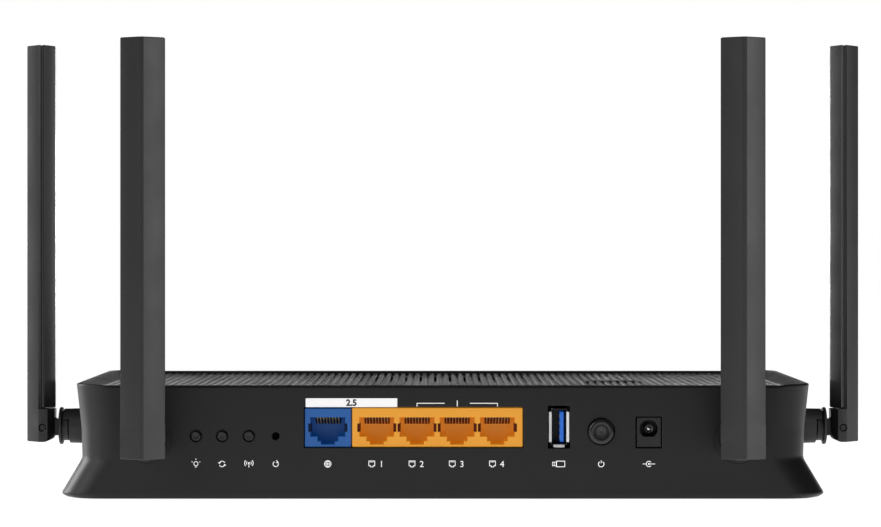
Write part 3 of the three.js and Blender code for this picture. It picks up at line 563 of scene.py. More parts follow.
def rim_rise(x, y):
    """How far the rim stands above the panel: most at the sides, and less across the front and rear."""
    at_side = smooth_share(abs(x), *RIM_FADE)
    at_rear = 1 - smooth_share(y, 2, 8)
    along = min(1.0, max(0.0, y / DEPTH))
    rise = at_side * (RIM_RISE_REAR + (RIM_RISE_FRONT - RIM_RISE_REAR) * along)
    return rise - (1 - smooth_share(abs(x), 113, 119)) * at_rear * REAR_LIP_DROP


def side_profile():
    """(z, inset from the skirt's widest point), from the lower edge to just under the top edge."""
    waist = (WAIST_Z, WAIST_INSET)
    corners = [(-6, 1.9), (0, 1.9), (SKIRT_Z, 0), waist, (24, 6.9), (37.2, TOP_INSET), (44, 4.6)]
    radii = {1: 0.5, 2: 1.2, 3: 3.5, 4: 40}
    profile = []
    for i, corner in enumerate(corners[1:-1], 1):
        if i in radii:
            arc = corner_arc(corners[i - 1], corner, corners[i + 1], radii[i], 0.48, 6)
            profile += [(z, inset) for z, inset in arc if z >= -0.001]
        else:
            profile.append(corner)
    return profile


def housing_rings():
    """Rings up the outside of the wall, over the rim, into the panel's seat and down the inside."""
    base = BASE_HALF_WIDTH
    rings = []

    def level_ring(plan, z):
        rings.append(plan_ring(*plan, lambda x, y: z))

    def wall_ring(inset, z, offset=0.0):
        def height(x, y):
            return z + (rim_rise(x, y) if z > RIM_FROM_Z else 0)

        half, front = base - inset - offset, DEPTH - inset - offset
        rings.append(plan_ring(half, offset, front, CORNER_RADIUS - offset, height))

    profile = side_profile()
    lowest_inset = profile[0][1]
    level_ring((base - lowest_inset, 0.3, DEPTH - lowest_inset, CORNER_RADIUS), 0)
    for z, inset in profile:
        wall_ring(inset, z)
    # Over the top edge, in a small arc.
    edge = 0.55
    for i in range(5):
        angle = math.radians(90 * i / 4)
        wall_ring(TOP_INSET - 0.1, TOP_Z - edge + edge * math.sin(angle), edge * (1 - math.cos(angle)))
    panel_low, panel_high = cad_box("top_vent_panel")
    gap = 0.22
    crest = (base - TOP_INSET - RIM_WIDTH, 1.2, DEPTH - TOP_INSET - 1.3, 9.5)
    rings.append(plan_ring(*crest, lambda x, y: TOP_Z + rim_rise(x, y)))
    pocket = (panel_high.x + gap, panel_low.y - gap, panel_high.y + gap, 0.6)
    trench = (pocket[0] + 0.4, pocket[1] - 0.3, pocket[2] + 0.4, 1.2)

    def trench_z(x, y):
        return TOP_Z - TRENCH_DROP - smooth_share(abs(x), 113, 117) * (SIDE_TRENCH_DEPTH - TRENCH_DROP)

    rings.append(plan_ring(*trench, trench_z))
    rings.append(plan_ring(*pocket, lambda x, y: trench_z(x, y) - 0.15))
    ledge_z = TOP_Z - 2.3
    throat = (panel_high.x - LEDGE_WIDTH, panel_low.y + LEDGE_WIDTH, panel_high.y - LEDGE_WIDTH, 0.6)
    level_ring(pocket, ledge_z)
    level_ring(throat, ledge_z)
    level_ring(throat, ledge_z - 2)
    wall_ring(TOP_INSET + 0.4, ledge_z - 2, WALL)
    for z in (18, 13.4):
        wall_ring(WAIST_INSET, z, WALL)
    for z in (3, 0):
        wall_ring(2.4, z, 0.6)
    return rings


def opening(name, x0, x1, z0, z1, radius):
    """A cutter for a rectangular hole in the rear wall, with a gap round what stands in it."""
    outline = rectangle(x0 - GAP, x1 + GAP, z0 - GAP, z1 + GAP, radius)
    return mouth(name, outline, CUT_DEPTH, 0.2)


def joint_place(joint):
    return HOUSING_FRAME.inverted() @ Vector(JOINTS[joint]["pos_m"])


def wall_cutters():
    """Everything that pierces the rear wall, and the shallow seats of the rear antennas' rings."""
    lan_low, lan_high = cad_box("lan_jack_block")
    cutters = [opening("jack_cut", cad_box("wan_jack")[0].x, lan_high.x, lan_low.z, lan_high.z, 0.25)]
    for node, radius in (("usb_shell", 0.4), ("dc_jack_body", 0.3)):
        low, high = cad_box(node)
        cutters.append(opening(node + "_cut", low.x, high.x, low.z, high.z, radius))
    for node, radius in BUTTON_HOLES.items():
        centre = node_centre(node)
        cutters.append(mouth(node + "_cut", circle(centre.x, centre.z, radius), CUT_DEPTH, 0.22))
    for joint in ("rear_left_swivel_turn", "rear_right_swivel_turn"):
        at = joint_place(joint)
        cutters.append(prism(joint + "_cut", circle(at.x, at.z, 6.47), -1, CUT_DEPTH, "y"))
        cutters.append(mouth(joint + "_seat", circle(at.x, at.z, 8.1, 96), 0.12, 0.1))
    return cutters


def side_cutters():
    cutters = []
    for joint in ("side_left_swivel_turn", "side_right_swivel_turn"):
        at = joint_place(joint)
        cutters.append(prism(joint + "_cut", circle(at.y, at.z, 6.75), *side_span(at.x, 1, -6, 6), "x"))
    return cutters


def node_centre(node):
    low, high = cad_box(node)
    return (low + high) / 2


SMALL_BUTTONS = ("indicator_button", "pairing_button", "radio_button")
BUTTON_HOLES = {**dict.fromkeys(SMALL_BUTTONS, 1.95), "reset_button": 1.3, "power_button": 4.55}


def build_housing():
    shell = loft("housing_shell", housing_rings(), wrap=True)
    cut(shell, wall_cutters() + side_cutters())
    house(shell, "housing_plastic", ["main_housing"], sharp=28)


def build_top_panel():
    """The ribbed panel: rounded ribs between grooves that end short of a flat border."""
    low, high = cad_box("top_vent_panel")
    window_low, window_high = cad_box("led_window")
    island_x = (window_low.x - 2.0, window_high.x + 2.0)
    island_y = (window_low.y - 1.6, window_high.y + 1.6)
    half = GROOVE_HALF_WIDTH
    grooves = int((high.x - low.x - 4 * half) / RIB_PITCH)
    first = -(grooves - 1) / 2 * RIB_PITCH
    # One flank of a groove: (how far beyond its half width, share of its depth).
    flank = ((0.22, 0.0), (0.08, 0.06), (-0.02, 0.25), (-0.08, 0.8), (-0.25, 1.0))
    section = [(-half - out, share) for out, share in flank]
    section += [(half + out, share) for out, share in reversed(flank)]
    side_drop = SIDE_TRENCH_DEPTH / GROOVE_DEPTH
    columns = [(low.x, side_drop), (low.x + 0.5, side_drop), (low.x + 0.75, 0.1), (low.x + 0.95, 0.0)]
    for i in range(grooves):
        columns += [(first + i * RIB_PITCH + dx, share) for dx, share in section]
    columns += [(-x, share) for x, share in reversed(columns[:4])]
    border, ramp = 0.75, 0.6
    rows = [(low.y, 0.12), (low.y + 0.12, 0.0), (low.y + border, 0.0), (low.y + border + ramp, 1.0)]
    rows += [(y, 1.0) for y in (island_y[0] - ramp, *island_y, island_y[1] + ramp)]
    rows += [(high.y - border - ramp, 1.0), (high.y - border, 0.0), (high.y, 0.0)]

    def depth(x, y, share, row_share):
        on_island = island_x[0] < x < island_x[1] and island_y[0] - 0.01 < y < island_y[1] + 0.01
        return 0.0 if on_island else share * row_share * GROOVE_DEPTH

    vertices = [
        (x, y, TOP_Z - depth(x, y, share, row_share)) for y, row_share in rows for x, share in columns
    ]
    wide, deep = len(columns), len(rows)
    faces = [
        (r * wide + c, r * wide + c + 1, (r + 1) * wide + c + 1, (r + 1) * wide + c)
        for r in range(deep - 1)
        for c in range(wide - 1)
    ]
    border_loop = list(range(wide))
    border_loop += [r * wide + wide - 1 for r in range(1, deep)]
    border_loop += [(deep - 1) * wide + c for c in range(wide - 2, -1, -1)]
    border_loop += [r * wide for r in range(deep - 2, 0, -1)]
    base, count = len(vertices), len(border_loop)
    vertices += [(*vertices[i][:2], low.z) for i in border_loop]
    for i in range(count):
        j = (i + 1) % count
        faces.append((border_loop[j], border_loop[i], base + i, base + j))
    faces.append(tuple(range(base, base + count)))
    panel = new_object("ribbed_top_panel", vertices, faces)
    vents = []
    for i in range(0, grooves, 2):
        x = first + i * RIB_PITCH
        if abs(x) <= 60:
            vents.append(block("vent", x - 0.4, x + 0.4, 62, 104, low.z - 1, TOP_Z - 0.5))
    window = node_centre("led_window")
    size = window_high - window_low
    outline = stadium(window.x, window.y, size.x + 0.4, size.y + 0.4)
    hole = prism("window_hole", outline, low.z - 1, TOP_Z + 1)
    cut(panel, [join("vents", vents), hole])
    house(panel, "panel_plastic", ["top_vent_panel"], sharp=50)


def build_led_window():
    low, high = cad_box("led_window")
    centre = node_centre("led_window")
    outline = stadium(centre.x, centre.y, high.x - low.x, high.y - low.y)
    house(prism("indicator_window", outline, low.z, high.z, "z", 0.12), "window_smoke", ["led_window"])
    marks = []
    for i in range(5):
        outline = stadium(centre.x + (i - 2) * 2.5, centre.y, 1.3 if i % 2 else 0.8, 0.55, 4)
        marks.append(prism("mark", outline, high.z - 0.02, high.z + 0.02))
    house(join("indicator_marks", marks), "print_white")


# ---------------------------------------------------------------- jacks and sockets


def cavity_outline(x):
    """The stepped mouth of a network jack, centred on x."""
    right = [(2.35, 18.2), (2.35, 19.3), (3.5, 19.3), (3.5, 20.9), (5.9, 20.9), (5.9, 27.4)]
    outline = mirrored(right)
    return [(x + dx, z) for dx, z in outline[-1:] + outline[:-1]]


def row_xs(x, count):
    """The places of a row of contacts, or of the ribs between them, centred on x."""
    return [x + (i - (count - 1) / 2) * CONTACT_PITCH for i in range(count)]


CONTACT_PITCH = 1.02


def build_jack(node, name, slot, port_xs):
    """A jack block with its cavities, and the comb ribs and slot liners inside them, coloured a darker copy
    of the jack plastic as painted shade.
    """
    low, high = cad_box(node)
    body = prism(name, rectangle(low.x, high.x, low.z, high.z, 0.25, 3), low.y, high.y, "y", 0.12)
    cutters, ribs, shade_liners = [], [], []
    for x in port_xs:
        cutters.append(mouth("cavity", cavity_outline(x), low.y + 10.5, 0.12, face=low.y))
        for side in (-1, 1):
            # Each notch gets a dark liner: painted shade where the notch opens into empty space.
            notch, liner = side_span(x, side, 5.5, 6.65), side_span(x, side, 5.62, 6.62)
            cutters.append(block("notch", *notch, low.y - 1, low.y + 7, 22.45, 25.35))
            shade_liners.append(block("liner", *liner, low.y + 0.5, low.y + 6.9, 22.5, 25.3))
        for wire_x in row_xs(x, 8):
            gutter = (wire_x - 0.33, wire_x + 0.33, low.y + 1.0, high.y + 1, 26.9, 28.7)
            cutters.append(block("gutter", *gutter))
        for rib_x in row_xs(x, 9):
            outline = [(low.y + 1.2, 27.35), (low.y + 1.2, 26.3), (low.y + 6, 25.2), (low.y + 6, 27.35)]
            ribs.append(prism("rib", outline, rib_x - 0.15, rib_x + 0.15, "x"))
        ribs.append(block("backing", x - 4.3, x + 4.3, low.y + 7.4, low.y + 8, 24.9, 27.35))
    house(cut(body, cutters), slot, [node])
    # Painted shade: comb ribs and liners take a darker copy of the jack colour.
    dark = COMB_RED_PAINTED_SHADE if slot == "jack_orange" else COMB_BLUE_PAINTED_SHADE
    house(join(name + "_comb_ribs", ribs), slot, material=dark)
    house(join(name + "_slot_liners", shade_liners), slot, material=dark)


def build_contacts(node, name, port_xs):
    """Gold wires bent out of the jack's roof and back down into the cavity."""
    low, high = cad_box(node)
    path = [(high.y - 1.1, 27.95), (low.y + 2.15, 27.95)]
    path += arc_points(low.y + 1.3, 27.35, 0.6, 90, 220, 6)
    path += [(low.y + 3.2, 26.2), (low.y + 6.4, 24.95), (low.y + 7.2, 24.9)]
    wires = [bent_wire("wire", path, wire_x, 0.22) for x in port_xs for wire_x in row_xs(x, 8)]
    house(join(name, wires), "contact_gold", [node], sharp=60)


def bent_wire(name, path, x, radius, steps=8):
    """A round wire along a path of (y, z) points, at one x."""
    points = [Vector(p) for p in path]
    rings = []
    for i, point in enumerate(points):
        along = (points[min(i + 1, len(points) - 1)] - points[max(i - 1, 0)]).normalized()
        side = Vector((-along.y, along.x))
        rings.append([(dx, *(point + side * dz)) for dx, dz in circle(x, 0, radius, steps)])
    return loft(name, rings)


def flared_lip(outline, low_y, tilt):
    """A flat bar of the shell's mouth, folded out so that its inner edge sits deeper."""
    lip = prism("lip", outline, low_y, low_y + 0.3, "y", 0.06)
    for vertex in lip.data.vertices:
        share = tilt(vertex.co.x, vertex.co.z)
        vertex.co.y += 0.35 * share
    return lip


def build_usb():
    """The upright data socket: its shell with springs and folded lips, and the tongue inside."""
    low, high = cad_box("usb_shell")
    centre = node_centre("usb_shell")
    inner_half, lip_half, wall = 2.5, 3.43, 0.3
    half_width, half_height = inner_half + wall, 5.85 + wall
    outer = rectangle(
        centre.x - half_width, centre.x + half_width, centre.z - half_height, centre.z + half_height, 0.5
    )
    inner = offset_outline(outer, -wall)
    mouth_y = low.y + 0.45
    levels = ((outer, mouth_y), (outer, high.y), (inner, high.y), (inner, mouth_y))
    tube = loft("tube", [ring_y(points, y) for points, y in levels], wrap=True)
    lips, springs = [], []

    def side_tilt(x, z):
        return (lip_half - abs(x - centre.x)) / (lip_half - inner_half)

    for side in (-1, 1):
        ends = side_span(centre.x, side, inner_half, lip_half)
        outline = rectangle(*ends, centre.z - 5.15, centre.z + 5.15, 0.15)
        lips.append(flared_lip(outline, low.y, side_tilt))
        for dz in (-3.2, 3.2):
            x = centre.x + side * (inner_half - 0.15)
            outline = rectangle(low.y + 2, low.y + 8, centre.z + dz - 1, centre.z + dz + 1, 0.3)
            springs.append(prism("spring", outline, x - 0.12, x + 0.12, "x"))
    foot_top = low.z + 0.95
    outline = rectangle(centre.x - 1.87, centre.x + 1.87, low.z + 0.03, foot_top, 0.15)
    lips.append(flared_lip(outline, low.y, lambda x, z: (z - low.z) / (foot_top - low.z)))
    # The shell takes the darkened steel: painted shade inside the socket.
    house(join("usb_socket_shell", [tube, *springs]), "shield_steel", ["usb_shell"], STEEL_PAINTED_SHADE)
    house(join("usb_socket_lips", lips), "shield_steel", ["usb_shell"], LIP_STEEL)

    tongue_low, tongue_high = cad_box("usb_tongue")
    outline = rectangle(tongue_low.x, tongue_high.x, tongue_low.z, tongue_high.z, 0.2)
    house(prism("usb_socket_base", outline, low.y + 10, tongue_high.y, "y"), "inlet_black")
    blade_low, blade_high, blade_end = centre.x + 0.3, centre.x + 1.65, low.y + 9.8
    outline = rectangle(blade_low, blade_high, centre.z - 5.1, centre.z + 5.1, 0.25)
    blade = prism("usb_socket_tongue", outline, tongue_low.y, blade_end, "y", 0.2)
    house(blade, "usb_blue", ["usb_tongue"])
    strips = []
    for dz in (-3.5, -1.0, 1.0, 3.5):
        z = centre.z + dz
        outline = rectangle(tongue_low.y + 0.7, blade_end, z - 0.5, z + 0.5)
        strips.append(prism("strip", outline, blade_low - 0.08, blade_low + 0.05, "x"))
    house(join("usb_tongue_contacts", strips), "contact_gold")


def build_dc_inlet():
    low, high = cad_box("dc_jack_body")
    pin = node_centre("dc_jack_pin")
    body = prism("inlet_body", rectangle(low.x, high.x, low.z, high.z, 0.35), low.y, high.y, "y", 0.15)
    flat_z = pin.z - 2.6
    outline = [(x, max(z, flat_z)) for x, z in circle(pin.x, pin.z, 3.05)]
    cut(body, [mouth("inlet_hole", outline, 10.3, 0.15, face=low.y)])
    house(body, "inlet_black", ["dc_jack_body"])
    profile = [(0, 1.35), (0.35, 1.42), (0.65, 1.62), (0.82, 1.95), (0.85, 2.3), (0.85, 12.9), (0, 12.9)]
    house(turned("inlet_pin", profile, pin.x, pin.z, 40), "shield_steel", ["dc_jack_pin"])
    profile = [(1.15, 1.7), (1.27, 1.6), (1.4, 1.7), (1.4, 10.2), (1.15, 10.2), (1.15, 1.7)]
    sleeve = turned("inlet_sleeve", profile, pin.x, pin.z, 40)
    house(sleeve, "shield_steel", material=SLEEVE_STEEL)


# ---------------------------------------------------------------- buttons


def face_edge(radius, y, across, deep):
    """A quarter ellipse of (radius, y) points, from a disc's face at y to its side wall."""
    angles = [math.radians(90 * i / 8) for i in range(9)]
    return [(radius - across + across * math.sin(a), y + deep * (1 - math.cos(a))) for a in angles]


def button_stem(radius, flange, flange_back, stem, end):
    """What stands behind a button's face: its side wall, a flange behind the wall, and a stem."""
    wall_end = 2.5
    behind = [(radius, wall_end), (flange, wall_end), (flange, flange_back), (stem, flange_back)]
    return behind + [(stem, end), (0, end)]


def build_small_button(node):
    low, high = cad_box(node)
    centre = node_centre(node)
    profile = [(0, low.y + 0.06), (0.9, low.y + 0.04), *face_edge(1.58, low.y, 0.3, 0.3)]
    profile += button_stem(1.58, 2.6, 3.3, 0.7, high.y)
    cap = turned(node.replace("button", "button_cap"), profile, centre.x, centre.z, 48)
    house(cap, "button_plastic", [node], body=node + "_cap")


def build_reset_button():
    low, high = cad_box("reset_button")
    centre = node_centre("reset_button")
    profile = [(0, low.y + 1.4), (0.7, low.y + 1.4), (0.85, low.y + 1.55)]
    profile += button_stem(0.85, 1.8, 3.3, 0.7, high.y)
    plunger = turned("reset_plunger", profile, centre.x, centre.z, 40)
    # The plunger takes the near-black: painted shade at the bottom of its hole.
    house(plunger, "button_plastic", ["reset_button"], HOLE_PAINTED_SHADE, "reset_button_cap")


def build_power_button():
    low, high = cad_box("power_button")
    centre = node_centre("power_button")
    face = low.y
    # A shallow dish with a ring groove round it: (radius, depth below the face).
    dish = [(0, 0.12), (1.95, 0.05), (2.05, 0.2), (2.15, 0.32)]
    dish += [(2.3, 0.32), (2.42, 0.2), (2.55, 0.05), (2.85, 0)]
    profile = [(radius, face + depth) for radius, depth in dish]
    profile += face_edge(4.3, face, 0.95, 0.7) + button_stem(4.3, 5.05, 3.5, 1.6, high.y)
    cap = turned("power_button_cap_disc", profile, centre.x, centre.z, 72)
    house(cap, "button_plastic", ["power_button"], POWER_BLACK, "power_button_cap", 25)
    ring = arc_points(centre.x, centre.z, 1.15, 125, 415)
    bar = [(centre.x, centre.z + 0.35), (centre.x, centre.z + 1.5)]
    parts = [stroke("mark_part", line, 0.2, face + 0.08, face + 0.2) for line in (ring, bar)]
    house(join("power_button_mark", parts), "print_white", material=PRINT_GREY, body="power_button_cap")


# ---------------------------------------------------------------- antennas

RIDGE_Y, INNER_RIDGE_Y = -24, -14
OUTER_EDGE_Y, INNER_EDGE_Y = -19.2, -17.15
FORK_EDGE_Y = -16
BLADE_HALF, RIDGE_HALF = 7.5, 0.8
BLADE_BOTTOM, BLADE_LENGTH = -5.5, 140.8
FORK_TOP = 6.3
BLADE_TOP = BLADE_BOTTOM + BLADE_LENGTH
SEAM_Y = (OUTER_EDGE_Y + INNER_EDGE_Y) / 2
TURN_AT, TILT_AT = (JOINTS["rear_left_" + move]["pos_m"] for move in ("swivel_turn", "blade_tilt"))
PIN_Y, PIN_Z = ((tilt - turn) / MM for tilt, turn in zip(TILT_AT[1:], TURN_AT[1:]))
ANTENNA_TURNS = {"rear_left": 0, "rear_right": 0, "side_left": -90, "side_right": 90}


def antenna_frame(prefix):
    at = Vector(JOINTS[prefix + "_swivel_turn"]["pos_m"])
    turn = Matrix.Rotation(math.radians(ANTENNA_TURNS[prefix]), 4, "Z")
    return Matrix.Translation(at) @ turn @ Matrix.Scale(MM, 4)


def antenna_piece(obj, prefix, place, ending, body, material, node, sharp=SMOOTH_BELOW):
    obj.name = f"{prefix}_{ending}"
    place_piece(obj, place, body, material, [f"{prefix}_antenna_{node}"], sharp)


def build_socket(prefix, place):
    """The sleeve that the swivel turns in, with a hood over the front of its neck."""
    outside = [(3.3, -8.55), (3.45, -8.7), (5.95, -8.7), (6.1, -8.55), (6.45, 2.9), (7.6, 2.9), (7.6, 4.7)]
    tube = turned("tube", [*outside, (3.3, 4.7), outside[0]])
    outside = [(5.55, -10.6), (5.65, -10.7), (5.98, -10.7), (6.07, -10.6), (6.1, -8.5)]
    hood = turned("hood", [*outside, (5.55, -8.5), outside[0]])
    cut(hood, [block("below", -10, 10, -12, -8.6, -10, 2.5)])
    socket = fuse(tube, [hood])
    antenna_piece(
        socket, prefix, place, "socket_sleeve", "housing", SOCKET_BLACK, "socket"
    )


def build_swivel(prefix, place):
    """The neck that turns in the socket: a shaft with a flange, and the tongue that holds the pin."""
    flange = [(0, -12.48), (6.1, -12.4), (6.45, -12.32), (6.6, -12.15), (6.6, -11.45), (6.45, -11.3)]
    stem = [(5.25, -11.3), (5.25, -9.2), (5.15, -9.1), (3, -9.1), (3, 5), (3.7, 5), (3.2, 6.4), (0, 6.4)]
    shaft = turned("shaft", flange + stem)
    outline = [(-12, PIN_Z - 3), (-12, PIN_Z + 3), *arc_points(PIN_Y, PIN_Z, 3, 90, 270)]
    tongue = prism("tongue", outline, -2.55, 2.55, "x", 0.25)
    eye = prism("eye", circle(PIN_Y, PIN_Z, 1.35, 40), -5, 5, "x")
    split = block("split", -0.4, 0.4, 0.5, 8, -5, 5)
    swivel = cut(fuse(shaft, [tongue]), [eye, split])
    body = prefix + "_swivel"
    antenna_piece(swivel, prefix, place, "swivel_neck", body, SOCKET_BLACK, "swivel")


def build_pin(prefix, place):
    """A plain hinge pin with a chamfered, slightly sunk end on each side."""
    half = 7.1
    ends = ((-half, 0.95), (-half + 0.2, 1.2), (half - 0.2, 1.2), (half, 0.95))
    pin = loft("pin", [ring_x(circle(PIN_Y, PIN_Z, radius, 32), x) for x, radius in ends])
    antenna_piece(
        pin, prefix, place, "pin", prefix + "_blade", SOCKET_BLACK, "hinge_pin"
    )


def blade_part(name, half_outline, bottom, top, edge):
    """A length of the blade, from the right half of its section, with its corners rounded."""
    return prism(name, rounded_outline(mirrored(half_outline), 0.16, 2), bottom, top, "z", edge)


def blade_shell(obj, prefix, place, side):
    node = side + "_shell"
    body = prefix + "_blade"
    antenna_piece(obj, prefix, place, "blade_" + side, body, ANTENNA_BLACK, node, 25)


def build_outer_shell(prefix, place):
    """The blade's ridged outer half, with the fork that the pin goes through at its foot."""
    seam = SEAM_Y - GAP / 4
    ridge, corner = (RIDGE_HALF, RIDGE_Y), (BLADE_HALF, OUTER_EDGE_Y)
    section = [ridge, corner, (BLADE_HALF - 0.45, OUTER_EDGE_Y + 0.35), (BLADE_HALF - 0.6, seam)]
    roof = blade_part("roof", section, FORK_TOP - 1, BLADE_TOP, 0.3)
    inside = BLADE_HALF - 1.4
    hollow = mirrored([(RIDGE_HALF, RIDGE_Y + 1.4), (inside, OUTER_EDGE_Y + 0.5), (inside, seam + 1)])
    cut(roof, [prism("hollow", hollow, FORK_TOP, BLADE_TOP - 1.4)])
    section = [ridge, corner, (BLADE_HALF, FORK_EDGE_Y), (2.9, INNER_RIDGE_Y)]
    fork = blade_part("fork", section, BLADE_BOTTOM, FORK_TOP, 0.2)
    # Seen from the side, the fork's inner lower corner is rounded off.
    foot = 3.6
    side = [(RIDGE_Y - 1, FORK_TOP + 1), (RIDGE_Y - 1, BLADE_BOTTOM - 1)]
    side.append((INNER_RIDGE_Y - foot, BLADE_BOTTOM - 1))
    side += arc_points(INNER_RIDGE_Y - foot, BLADE_BOTTOM + foot, foot, -90, 0, 12)
    side.append((INNER_RIDGE_Y, FORK_TOP + 1))
    combine(fork, [prism("side", side, -9, 9, "x")], "INTERSECT")
    slot = block("slot", -2.9, 2.9, PIN_Y - 3.4, -13, BLADE_BOTTOM - 1, PIN_Z + 3.4)
    bore = prism("bore", circle(PIN_Y, PIN_Z, 1.4, 40), -9, 9, "x")
    cut(fork, [slot, bore])
    blade_shell(fuse(roof, [fork]), prefix, place, "outer")


def build_inner_shell(prefix, place):
    """The blade's inner half, which closes it above the fork."""
    bottom, seam = FORK_TOP + 0.3, SEAM_Y + GAP / 4
    section = [(BLADE_HALF - 0.6, seam), (BLADE_HALF - 0.55, INNER_EDGE_Y - 0.5)]
    section += [(BLADE_HALF, INNER_EDGE_Y), (RIDGE_HALF, INNER_RIDGE_Y)]
    body = blade_part("inner", section, bottom, BLADE_TOP, 0.25)
    inside = BLADE_HALF - 1.9
    hollow = mirrored([(inside, seam - 1), (inside, INNER_EDGE_Y + 0.2), (RIDGE_HALF, INNER_RIDGE_Y - 1.4)])
    cut(body, [prism("hollow", hollow, bottom + 1.4, BLADE_TOP - 1.4)])
    blade_shell(body, prefix, place, "inner")


# ---------------------------------------------------------------- printed marks


def stroke(name, points, width, y0, y1, closed=False):
    """A flat line of one width through (x, z) points, from y0 to y1."""
    path = [Vector(p) for p in points]
    count = len(path)
    left, right = [], []
    for i, here in enumerate(path):
        directions = []
        if closed or i:
            directions.append((here - path[i - 1]).normalized())
        if closed or i < count - 1:
            directions.append((path[(i + 1) % count] - here).normalized())
        along = sum(directions, Vector((0, 0))).normalized()
        side = Vector((-along.y, along.x))
        reach = width / 2 / max(0.5, abs(side.dot(Vector((-directions[0].y, directions[0].x)))))
        left.append(here + side * reach)
        right.append(here - side * reach)
    vertices = [(p.x, y, p.y) for y in (y0, y1) for p in left + right]
    faces = []
    layer = 2 * count
    for i in range(count if closed else count - 1):
        j = (i + 1) % count
        faces.append((i, j, count + j, count + i))
        faces.append((layer + i, layer + count + i, layer + count + j, layer + j))
        faces.append((i, layer + i, layer + j, j))
        faces.append((count + i, count + j, layer + count + j, layer + count + i))
    if not closed:
        for i in (0, count - 1):
            faces.append((i, count + i, layer + count + i, layer + i))
    return new_object(name, vertices, faces)


INK_BACK, INK_FRONT = 0.03, -0.03


def ink(points, closed, width):
    return stroke("ink", points, width, INK_FRONT, INK_BACK, closed)


def ink_lines(x, z, width, *lines, closed=False):
    """Lines of one width, whose points are given from (x, z)."""
    return [ink([(x + dx, z + dz) for dx, dz in line], closed, width) for line in lines]


def ink_arc(x, z, radius, start, end, width):
    return ink(arc_points(x, z, radius, start, end), False, width)


def ink_ring(x, z, radius, width):
    return ink(circle(x, z, radius, 28), True, width)


def ink_dot(x, z, radius):
    return prism("ink", circle(x, z, radius, 16), INK_FRONT, INK_BACK, "y")


def figure(text, x, z, size, weight=0.0):
    """Generic digits, centred on (x, z), as closed flat solids."""
    curve = bpy.data.curves.new("figure", "FONT")
    curve.body = text
    curve.size = size
    curve.offset = weight
    curve.align_x = "CENTER"
    curve.extrude = (INK_BACK - INK_FRONT) / 2
    curve.resolution_u = 3
    obj = add_object("figure", curve)
    bpy.context.view_layer.update()
    mesh = bpy.data.meshes.new_from_object(obj.evaluated_get(bpy.context.evaluated_depsgraph_get()))
    remove(obj)
    digit_height = size * 0.7
    mesh.transform(Matrix.Translation((x, 0, z - digit_height / 2)) @ STAND_UP)
    made = add_object("figure", mesh)
    tidy_mesh(made, 1e-5)
    return made


LABEL_Z = 11.6
FIGURE_SIZE = 3.0


def lamp_mark(x, z):
    """A lamp: a ring over a short foot, with three rays."""
    rays = [
        [(reach * math.cos(a), 0.25 + reach * math.sin(a)) for reach in (1.15, 1.6)]
        for a in map(math.radians, (20, 90, 160))
    ]
    foot = ink_lines(x, z, 0.26, [(-0.4, -1), (0.4, -1)])
    return [ink_ring(x, z + 0.1, 0.7, 0.24), *foot, *ink_lines(x, z, 0.22, *rays)]


def link_mark(x, z):
    """Two arrows that chase each other, for pairing."""
    arrow = [(-1.3, 0.55), (-0.9, 0.15), (-0.5, 0.6)]
    arcs = [ink_arc(x, z, 0.95, start, start + 140, 0.26) for start in (20, 200)]
    return arcs + ink_lines(x, z, 0.24, arrow, [(1.3, -0.55), (0.9, -0.15), (0.5, -0.6)])


def radio_mark(x, z):
    """A mast with a pair of arcs on each side."""
    parts = [ink_dot(x, z + 0.3, 0.3), *ink_lines(x, z, 0.24, [(0, 0.3), (0, -1.2)])]
    for radius in (0.8, 1.45):
        parts += [ink_arc(x, z + 0.3, radius, start, start + 80, 0.26) for start in (-40, 140)]
    return parts


def turn_back_mark(x, z):
    """An arrow that turns back on itself, for reset."""
    head = [(0.2, 1.25), (0.72, 0.7), (0.1, 0.4)]
    return [ink_arc(x, z, 0.9, -240, 50, 0.26), *ink_lines(x, z, 0.24, head)]


def globe_mark(x, z):
    lines = ink_lines(x, z, 0.2, [(-1.1, 0), (1.1, 0)], [(0, -1.1), (0, 1.1)])
    angles = [math.radians(a) for a in range(-90, 91, 15)]
    curves = [[(half * math.cos(a), 1.1 * math.sin(a)) for a in angles] for half in (-0.55, 0.55)]
    return [ink_ring(x, z, 1.1, 0.24), *lines, *ink_lines(x, z, 0.18, *curves)]


def socket_mark(x, z):
    """A small network plug outline."""
    outline = [(-1, -0.6), (-0.45, -0.6), (-0.45, -1), (0.45, -1), (0.45, -0.6), (1, -0.6), (1, 1), (-1, 1)]
    pins = [[(dx, 0.95), (dx, 0.45)] for dx in (-0.45, 0, 0.45)]
    return ink_lines(x, z, 0.24, outline, closed=True) + ink_lines(x, z, 0.16, *pins)


def stick_mark(x, z):
    """A data plug seen from the side: a shell with two windows and its grip."""
    parts = ink_lines(x, z, 0.24, rectangle(-2.2, -0.9, -0.6, 0.6), closed=True)
    parts += ink_lines(x, z, 0.26, rectangle(-0.9, 1.9, -0.95, 0.95), closed=True)
    return parts + [ink_dot(x - 1.6, z + dz, 0.16) for dz in (-0.24, 0.24)]


def power_mark(x, z):
    return [ink_arc(x, z - 0.05, 0.95, 125, 415, 0.28), *ink_lines(x, z, 0.28, [(0, 0.25), (0, 1.2)])]


def inlet_mark(x, z):
    """A ring round a dot with a lead on each side, for the inlet's poles."""
    leads = ink_lines(x, z, 0.24, [(0.3, 0), (2.1, 0)], [(-0.9, 0), (-2.1, 0)])
    return [ink_dot(x, z, 0.32), ink_arc(x, z, 0.9, 40, 320, 0.26), *leads]


